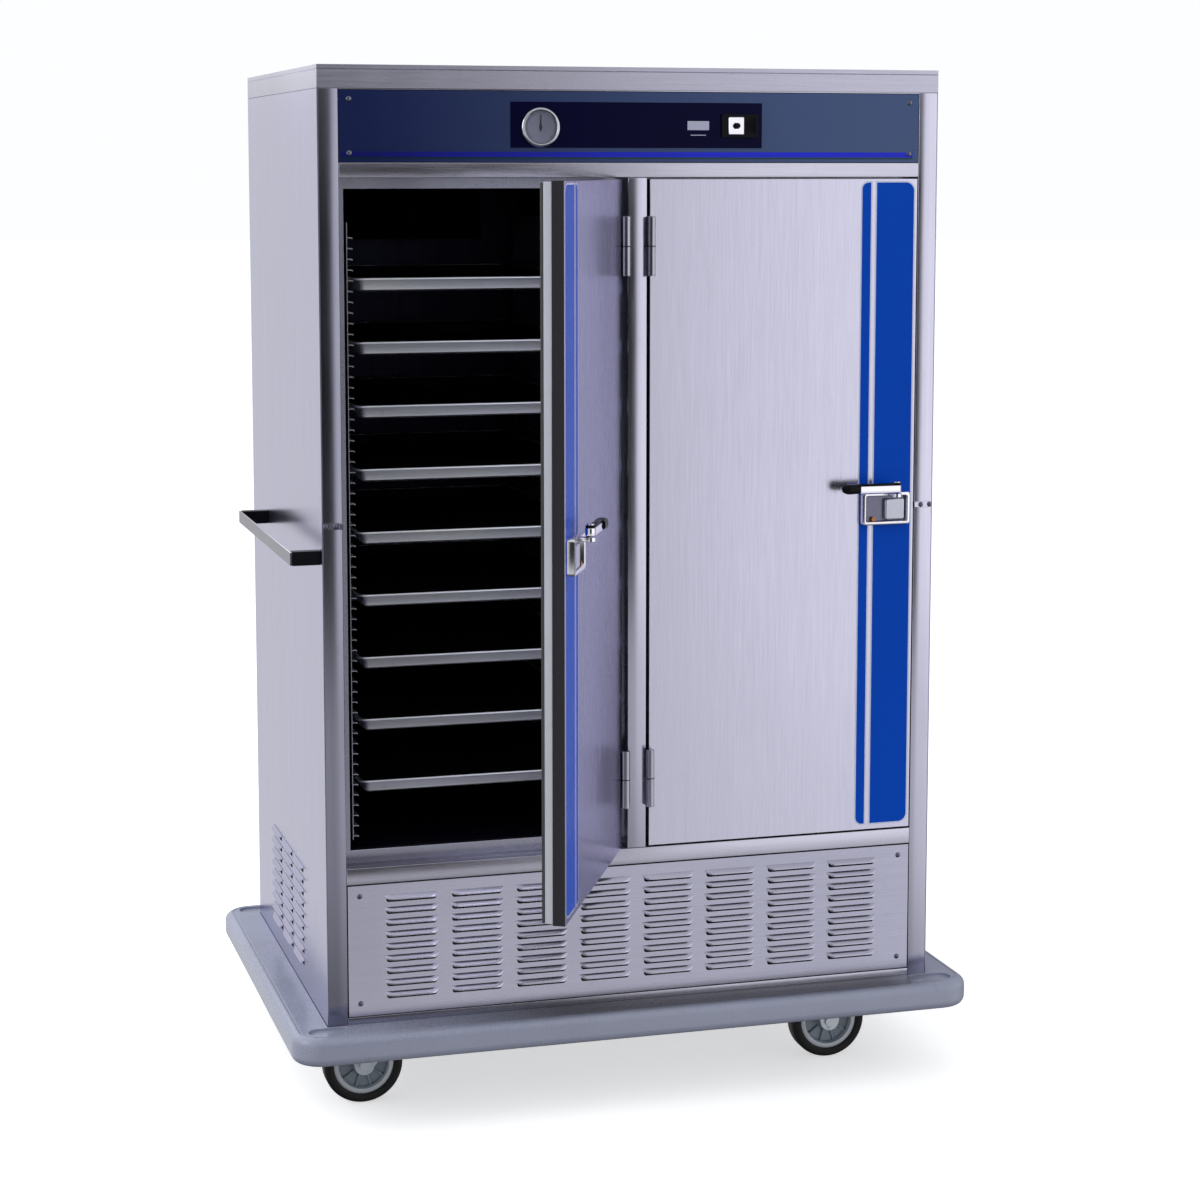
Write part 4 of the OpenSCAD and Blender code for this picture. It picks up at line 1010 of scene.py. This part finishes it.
def screwTree():
    tree, given, out = newTree("domedScrews", {
        "Radius": float, "High": float, "Slot": float, "Seed": int, "Finish": str})
    head = geo(tree, "GeometryNodeMeshUVSphere", {"Segments": 20, "Rings": 8, "Radius": given["Radius"]})
    squat = geo(tree, "GeometryNodeTransform", {
        "Geometry": head.outputs["Mesh"], "Scale": vec(tree, 1.0, 1.0, worked(
            tree, "DIVIDE", given["High"], given["Radius"]))})
    bar = geo(tree, "GeometryNodeMeshCube", {"Size": vec(tree, worked(
        tree, "MULTIPLY", given["Radius"], 1.7), given["Slot"], given["High"])})
    raised = geo(tree, "GeometryNodeTransform", {
        "Geometry": bar.outputs["Mesh"], "Translation": vec(tree, 0.0, 0.0, given["High"])})
    cut = geo(tree, "GeometryNodeMeshBoolean", {
        "Mesh 1": squat.outputs["Geometry"], "Mesh 2": raised.outputs["Geometry"]}, operation="DIFFERENCE")
    spin = geo(tree, "FunctionNodeRandomValue", {"Seed": given["Seed"]}, data_type="FLOAT")
    turn = worked(tree, "MULTIPLY", spin.outputs[1], math.pi)
    heads = geo(tree, "GeometryNodeInstanceOnPoints", {
        "Points": given["Geometry"], "Instance": cut.outputs["Mesh"],
        "Rotation": vec(tree, 0.0, 0.0, turn)})
    return settled(tree, out, heads.outputs["Instances"], given["Finish"])


def makeScrews():
    turn = Matrix.Rotation(math.pi / 2, 4, "X")          # a head's top faces -Y
    backwards = turn.inverted()
    sunk = Vector((0, screw["sunk"], 0))
    spots = bpy.data.meshes.new("screwSpots")
    spots.from_pydata([backwards @ (middle + sunk) for middle in islandMiddles("panel_screws")], [], [])
    mesh = grown("screws", screwTree(), {
        "Radius": screw["radius"], "High": screw["high"], "Slot": screw["slotWide"],
        "Seed": screw["seed"], "Finish": "screwSteel"}, spots)
    mesh.transform(turn)
    placeMesh("panelScrews", mesh, "screwSteel", "cabinet", ["panel_screws"], 40)
    print("screws made")


# Tray slides: a sheet with pressed ledges, repeated up each wall of both bays

slides = dict(pitch=0.0195, reach=0.010, thick=0.0012, lip=0.0022, endGap=0.008, offWall=0.005,
              wallHalf=0.0008)


def ledgeTree():
    tree, given, out = newTree("trayLedges", {
        "Count": int, "Pitch": float, "Depth": float, "Reach": float, "Thick": float, "Lip": float,
        "Finish": str})
    upBy = vec(tree, 0.0, 0.0, given["Pitch"])
    line = geo(tree, "GeometryNodeMeshLine", {"Count": given["Count"], "Offset": upBy})
    shelf = geo(tree, "GeometryNodeMeshCube", {
        "Size": vec(tree, given["Reach"], given["Depth"], given["Thick"])})
    shelfOut = geo(tree, "GeometryNodeTransform", {"Geometry": shelf.outputs["Mesh"], "Translation": vec(
        tree, worked(tree, "MULTIPLY", given["Reach"], 0.5), 0.0, 0.0)})
    lip = geo(tree, "GeometryNodeMeshCube", {
        "Size": vec(tree, given["Thick"], given["Depth"], given["Lip"])})
    lipOut = geo(tree, "GeometryNodeTransform", {"Geometry": lip.outputs["Mesh"], "Translation": vec(
        tree, given["Reach"], 0.0, worked(tree, "MULTIPLY", given["Lip"], -0.5))})
    ledge = joined(tree, shelfOut.outputs["Geometry"], lipOut.outputs["Geometry"])
    ledges = geo(tree, "GeometryNodeInstanceOnPoints", {"Points": line.outputs["Mesh"], "Instance": ledge})
    return settled(tree, out, ledges.outputs["Instances"], given["Finish"])


def makeSlides():
    low, high = span("tray_slides")
    panLow, panHigh = span("sheet_pans")
    endGap, wallHalf = slides["endGap"], slides["wallHalf"]
    count = int((high.z - low.z - 2 * endGap) / slides["pitch"]) + 1
    tree = ledgeTree()
    whole = bmesh.new()
    for middle in islandMiddles("tray_slides"):
        nearDivider = abs(middle.x) < abs((panLow.x + panHigh.x) / 2)
        facing = 1 if (middle.x < 0) != nearDivider else -1
        mesh = grown("ledges", tree, {
            "Count": count, "Pitch": slides["pitch"], "Depth": high.y - low.y, "Reach": slides["reach"],
            "Thick": slides["thick"], "Lip": slides["lip"], "Finish": "ledgeSteel"})
        wallX = middle.x - facing * slides["offWall"]
        place = Matrix.Translation((wallX, middle.y, low.z + endGap - slides["thick"] / 2))
        mesh.transform(place @ Matrix.Scale(facing, 4, (1, 0, 0)))
        whole.from_mesh(mesh)
        softBox(whole, (wallX - wallHalf, low.y, low.z), (wallX + wallHalf, high.y, high.z), 0.0003, 1)
    finishPiece("traySlides", whole, "ledgeSteel", "cabinet", ["tray_slides"], 30)
    print("tray slides made,", count, "ledges on each wall")


# Sheet pans with a rolled rim

pan = dict(height=0.025, corner=0.022, wallSlope=0.004, bead=0.0026, sheet=0.0012, brightRim=0.0095)


def makePans():
    middles = islandMiddles("sheet_pans")
    low, high = span("sheet_pans")
    width, depth = high.x - low.x, high.y - low.y
    height, b, slope = pan["height"], pan["bead"], pan["wallSlope"]
    whole = bmesh.new()
    for middle in middles:
        top = middle.z + height / 2
        cx, cy = middle.x, middle.y
        # from the outside of the bead over the rim, down the inner wall, across the floor and back outside
        profile = []
        for k in range(9):
            a = math.radians(-60 + 240 * k / 8)
            profile.append((b - b * math.cos(a), top - b + b * math.sin(a)))
        profile += [(0.0095, top - b - 0.0002), (0.0115, top - b - 0.002),
                    (0.0115 + slope, top - height + 0.004), (0.0185, top - height + pan["sheet"])]
        floorOut = len(profile)
        profile += [(0.0185, top - height), (0.0100 + slope, top - height + 0.003),
                    (0.0100, top - b - 0.003), (0.0085, top - b - 0.0014), (0.0050, top - b - 0.0014)]
        rings = []
        for inset, z in profile:
            outline = roundOutline(cx - width / 2 + inset, cx + width / 2 - inset, cy - depth / 2 + inset,
                                   cy + depth / 2 - inset, [max(pan["corner"] - inset * 0.8, 0.006)] * 4, 6)
            rings.append([Vector((x, y, z)) for x, y in outline])
        loft(whole, rings[floorOut:] + rings[:floorOut], capFirst=True, capLast=True)
    bmesh.ops.remove_doubles(whole, verts=whole.verts, dist=1e-6)
    piece = finishPiece("sheetPans", whole, ["panAluminium", "panInside"], "cabinet",
                        ["sheet_pans"], 40)
    for face in piece.data.polygons:        # only the rims and outsides keep the bright finish; the inside faces get a dark copy of the aluminium as painted shade
        middle = face.center
        inset = min(middle.x - low.x, high.x - middle.x, middle.y - low.y, high.y - middle.y)
        outward = face.normal.y * (middle.y - (low.y + high.y) / 2) > 0.001
        outward = outward or face.normal.x * (middle.x - (low.x + high.x) / 2) > 0.001
        face.material_index = 1 if inset > pan["brightRim"] and not outward else 0
    print("sheet pans made:", len(middles))


# Casters

wheel = dict(edge=0.008, hubRing=0.011, rimSetBack=0.002, webSetBack=0.011, boss=0.020, bore=0.0062,
             ribs=10, ribHalf=0.0018)


def bothSides(profile):
    # a profile of (radius, distance from the middle) and its mirror, as one closed run
    return [(r, -a) for r, a in profile] + [(r, a) for r, a in reversed(profile)]


def makeWheel(node, label):
    low, high = span(node + "_tyre")
    centre = (low + high) / 2
    radius, half = (high.x - low.x) / 2, (high.y - low.y) / 2
    hubLow, hubHigh = span(node + "_hub")
    hubHalf = (hubHigh.y - hubLow.y) / 2
    hubR = (hubHigh.x - hubLow.x) / 2
    body = bodyOf[node + "_tyre"]
    tyre = bmesh.new()
    edge = wheel["edge"]
    profile = [(hubR, -half + 0.001), (hubR + 0.001, -half + 0.0002), (radius - edge - 0.004, -half)]
    for k in range(9):
        a = math.pi / 2 * k / 8
        profile.append((radius - edge + edge * math.sin(a) - 0.0003 * math.cos(a),
                        -half + edge * (1 - math.cos(a))))
    profile += [(radius, -0.004), (radius, 0.0)]
    profile += [(r, -a) for r, a in reversed(profile[:-1])]
    spin(tyre, profile, centre, "y", 72)
    finishPiece(label + "Tyre", tyre, "tyreBlack", body, [node + "_tyre"], 50)
    rim, hub = bmesh.new(), bmesh.new()
    inner = hubR - wheel["hubRing"]
    side = half - wheel["rimSetBack"]
    spin(rim, bothSides([(inner, side - 0.004), (inner + 0.002, side), (hubR - 0.0035, side + 0.0006),
                         (hubR, side - 0.001)]), centre, "y", 72)
    finishPiece(label + "Rim", rim, "rimGrey", body, [node + "_hub"], 50)
    web = side - wheel["webSetBack"]
    boss, bore = wheel["boss"], wheel["bore"]
    spin(hub, bothSides([(bore, hubHalf), (boss - 0.0015, hubHalf), (boss, hubHalf - 0.0015),
                         (boss + 0.0015, web + 0.002), (boss + 0.004, web), (inner - 0.001, web + 0.001),
                         (inner + 0.001, web + 0.004)]), centre, "y", 64)
    for k in range(wheel["ribs"]):
        a = 2 * math.pi * k / wheel["ribs"]
        spoke = Matrix.Translation(centre) @ Matrix.Rotation(a, 4, "Y")
        softBox(hub, (boss - 0.001, -web - 0.005, -wheel["ribHalf"]),
                (inner + 0.002, web + 0.005, wheel["ribHalf"]), 0.0008, 2, spoke)
    finishPiece(label + "Hub", hub, "wheelGrey", body, (), 40)


def makeCasters():
    for node, label in (("front_swivel", "frontSwivel"), ("rear_swivel", "rearSwivel"),
                        ("front_fixed", "frontFixed"), ("rear_fixed", "rearFixed")):
        makeWheel(node, label)
    for node, label in (("front_fork", "frontFork"), ("rear_fork", "rearFork"),
                        ("caster_mounts", "casterMounts")):
        dress(node, label, "zincPlate", 0.0008)
    print("casters made")


# Everything whose own shape is right: its edges are eased and it gets its finish

plainParts = {
    "base_frame": ("baseFrame", "zincPlate", 0.0010),
    "bumper": ("bumperRail", "bumperGrey", 0.0009),
    "top_cap": ("topCap", "capSteel", 0.0010),
    "stop_frame": ("stopFrame", "stopSteel", 0.0008),
    "cabinet_insulation": ("cabinetFoam", "foamCut", 0),
    "bay_liner": ("bayLiner", "linerSteel", 0.0008),
    "bay_divider": ("bayDivider", "linerSteel", 0.0004),
    "compressor": ("compressorShell", "enamelBlack", 0.0010),
    "condenser_coil": ("condenserCoil", "finCopper", 0),
    "condenser_fan": ("condenserFan", "enamelBlack", 0.0004),
    "fan_motors": ("fanMotors", "coilBlack", 0.0008),
    "evaporator_coil": ("evaporatorCoil", "coilBlack", 0),
    "evaporator_fan": ("evaporatorFan", "coilBlack", 0.0004),
    "control_box": ("controlBox", "boxGrey", 0.0010),
    "power_inlet": ("powerInlet", "blackPlastic", 0.0006),
    "frame_hinges": ("frameHinges", "hingeSteel", 0.0007),
    "latch_strikes": ("latchStrikes", "postSteel", 0.0006),
    "push_handle": ("pushHandle", "barSteel", 0.0010),
    "handle_brackets": ("handleBrackets", "blackPlastic", 0.0016),
}


def makePlainParts():
    for node, (name, finish, edge) in plainParts.items():
        dress(node, name, finish, edge)
    bar = bpy.data.objects["pushHandle"].data      # the bar's upward faces get the bright chrome finish as a painted highlight
    bar.materials.append(paint["castChrome"])
    for face in bar.polygons:
        face.material_index = 1 if face.normal.z > 0.5 else 0
    print("plain parts dressed:", len(plainParts))


# Studio

studio = dict(floorTone=(0.90, 0.91, 0.93), floorLift=0.55, dark=0.02, bright=1.32, darkUntil=0.215,
              brightFrom=0.315, lowCard=0.85, leftCard=0.85, behindLeft=0.80, behindRight=0.22, above=0.75,
              below=0.12, key=88, keySize=6.0)
camera = dict(place=(-1.4448, -5.1020, 1.7717), lens=79.53, turn=16.26, tilt=6.74, shift=-0.10)


def makeFloor():
    floor = bmesh.new()
    bmesh.ops.create_circle(floor, cap_ends=True, segments=96, radius=60)
    mesh = bpy.data.meshes.new("studioFloor")
    floor.to_mesh(mesh)
    floor.free()
    ground = bpy.data.objects.new("studioFloor", mesh)
    scene.collection.objects.link(ground)
    finish = bpy.data.materials.new("studioFloor")
    finish.use_nodes = True
    tree = finish.node_tree
    shader = tree.nodes["Principled BSDF"]
    shader.inputs["Base Color"].default_value = (*studio["floorTone"], 1)
    shader.inputs["Roughness"].default_value = 0.9
    shader.inputs["Emission Color"].default_value = (1, 1, 1, 1)
    shader.inputs["Emission Strength"].default_value = studio["floorLift"]
    # reflections look past the floor to the studio, so the steel picks up its cards
    clear = addNode(tree, "ShaderNodeBsdfTransparent")
    pick = addNode(tree, "ShaderNodeMixShader")
    plug(tree, addNode(tree, "ShaderNodeLightPath").outputs["Is Camera Ray"], pick.inputs[0])
    plug(tree, clear.outputs[0], pick.inputs[1])
    plug(tree, shader.outputs[0], pick.inputs[2])
    plug(tree, pick.outputs[0], tree.nodes["Material Output"].inputs["Surface"])
    mesh.materials.append(finish)
    ground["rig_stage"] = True


def blended(tree, share, a, b):
    return mixed(tree, share, a, b, "FLOAT")


def makeWorld():
    world = bpy.data.worlds.new("studio")
    scene.world = world
    world.use_nodes = True
    tree = world.node_tree
    sky = tree.nodes["Background"]
    way = addNode(tree, "ShaderNodeSeparateXYZ")
    plug(tree, addNode(tree, "ShaderNodeTexCoord").outputs["Generated"], way.inputs["Vector"])
    x, y, z = way.outputs["X"], way.outputs["Y"], way.outputs["Z"]
    # a dark flag at the front left and a broad card at the front right
    level = ranged(tree, x, studio["darkUntil"], studio["brightFrom"], studio["dark"], studio["bright"])
    behind = ranged(tree, x, -0.10, 0.45, studio["behindLeft"], studio["behindRight"])
    # each step takes over between two directions along one axis, by up to the share given
    for axis, start, end, most, card in (
            (x, -0.42, -0.56, 1.0, studio["leftCard"]), (z, -0.18, -0.27, 0.8, studio["lowCard"]),
            (y, -0.20, 0.20, 1.0, behind), (z, 0.20, 0.70, 1.0, studio["above"]),
            (z, -0.40, -0.60, 1.0, studio["below"])):
        level = blended(tree, ranged(tree, axis, start, end, 0.0, most), level, card)
    seen = addNode(tree, "ShaderNodeLightPath").outputs["Is Camera Ray"]
    plug(tree, blended(tree, seen, level, 1.0), sky.inputs["Strength"])
    sky.inputs["Color"].default_value = (0.985, 0.99, 1.0, 1)


def makeLights():
    low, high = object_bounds()
    middle = (low + high) / 2
    cards = {"keyCard": ((-2.4, 2.6, 4.4), studio["key"], studio["keySize"]),
             "sideCard": ((-3.6, -0.6, 2.6), studio["key"] * 0.35, 2.0)}
    for name, (spot, power, size) in cards.items():
        light = bpy.data.lights.new(name, "AREA")
        light.energy = power
        light.size = size
        lamp = bpy.data.objects.new(name, light)
        scene.collection.objects.link(lamp)
        lamp.location = spot
        lamp.rotation_euler = (middle - Vector(spot)).to_track_quat("-Z", "Y").to_euler()


def makeCamera():
    lens = bpy.data.cameras.new("viewpoint")
    eye = bpy.data.objects.new("viewpoint", lens)
    scene.collection.objects.link(eye)
    lens.lens = camera["lens"]
    lens.sensor_width = 36
    lens.shift_y = camera["shift"]
    lens.clip_end = 200
    eye.location = camera["place"]
    eye.rotation_euler = (math.radians(90 - camera["tilt"]), 0, -math.radians(camera["turn"]))
    scene.camera = eye
    scene.view_settings.view_transform = "Standard"


makeCamera()
makePanels()
makeFaceFrame()
makeDoors()
makeControls()
makeScrews()
makeSlides()
makePans()
makeCasters()
makePlainParts()
makeFloor()
makeWorld()
makeLights()
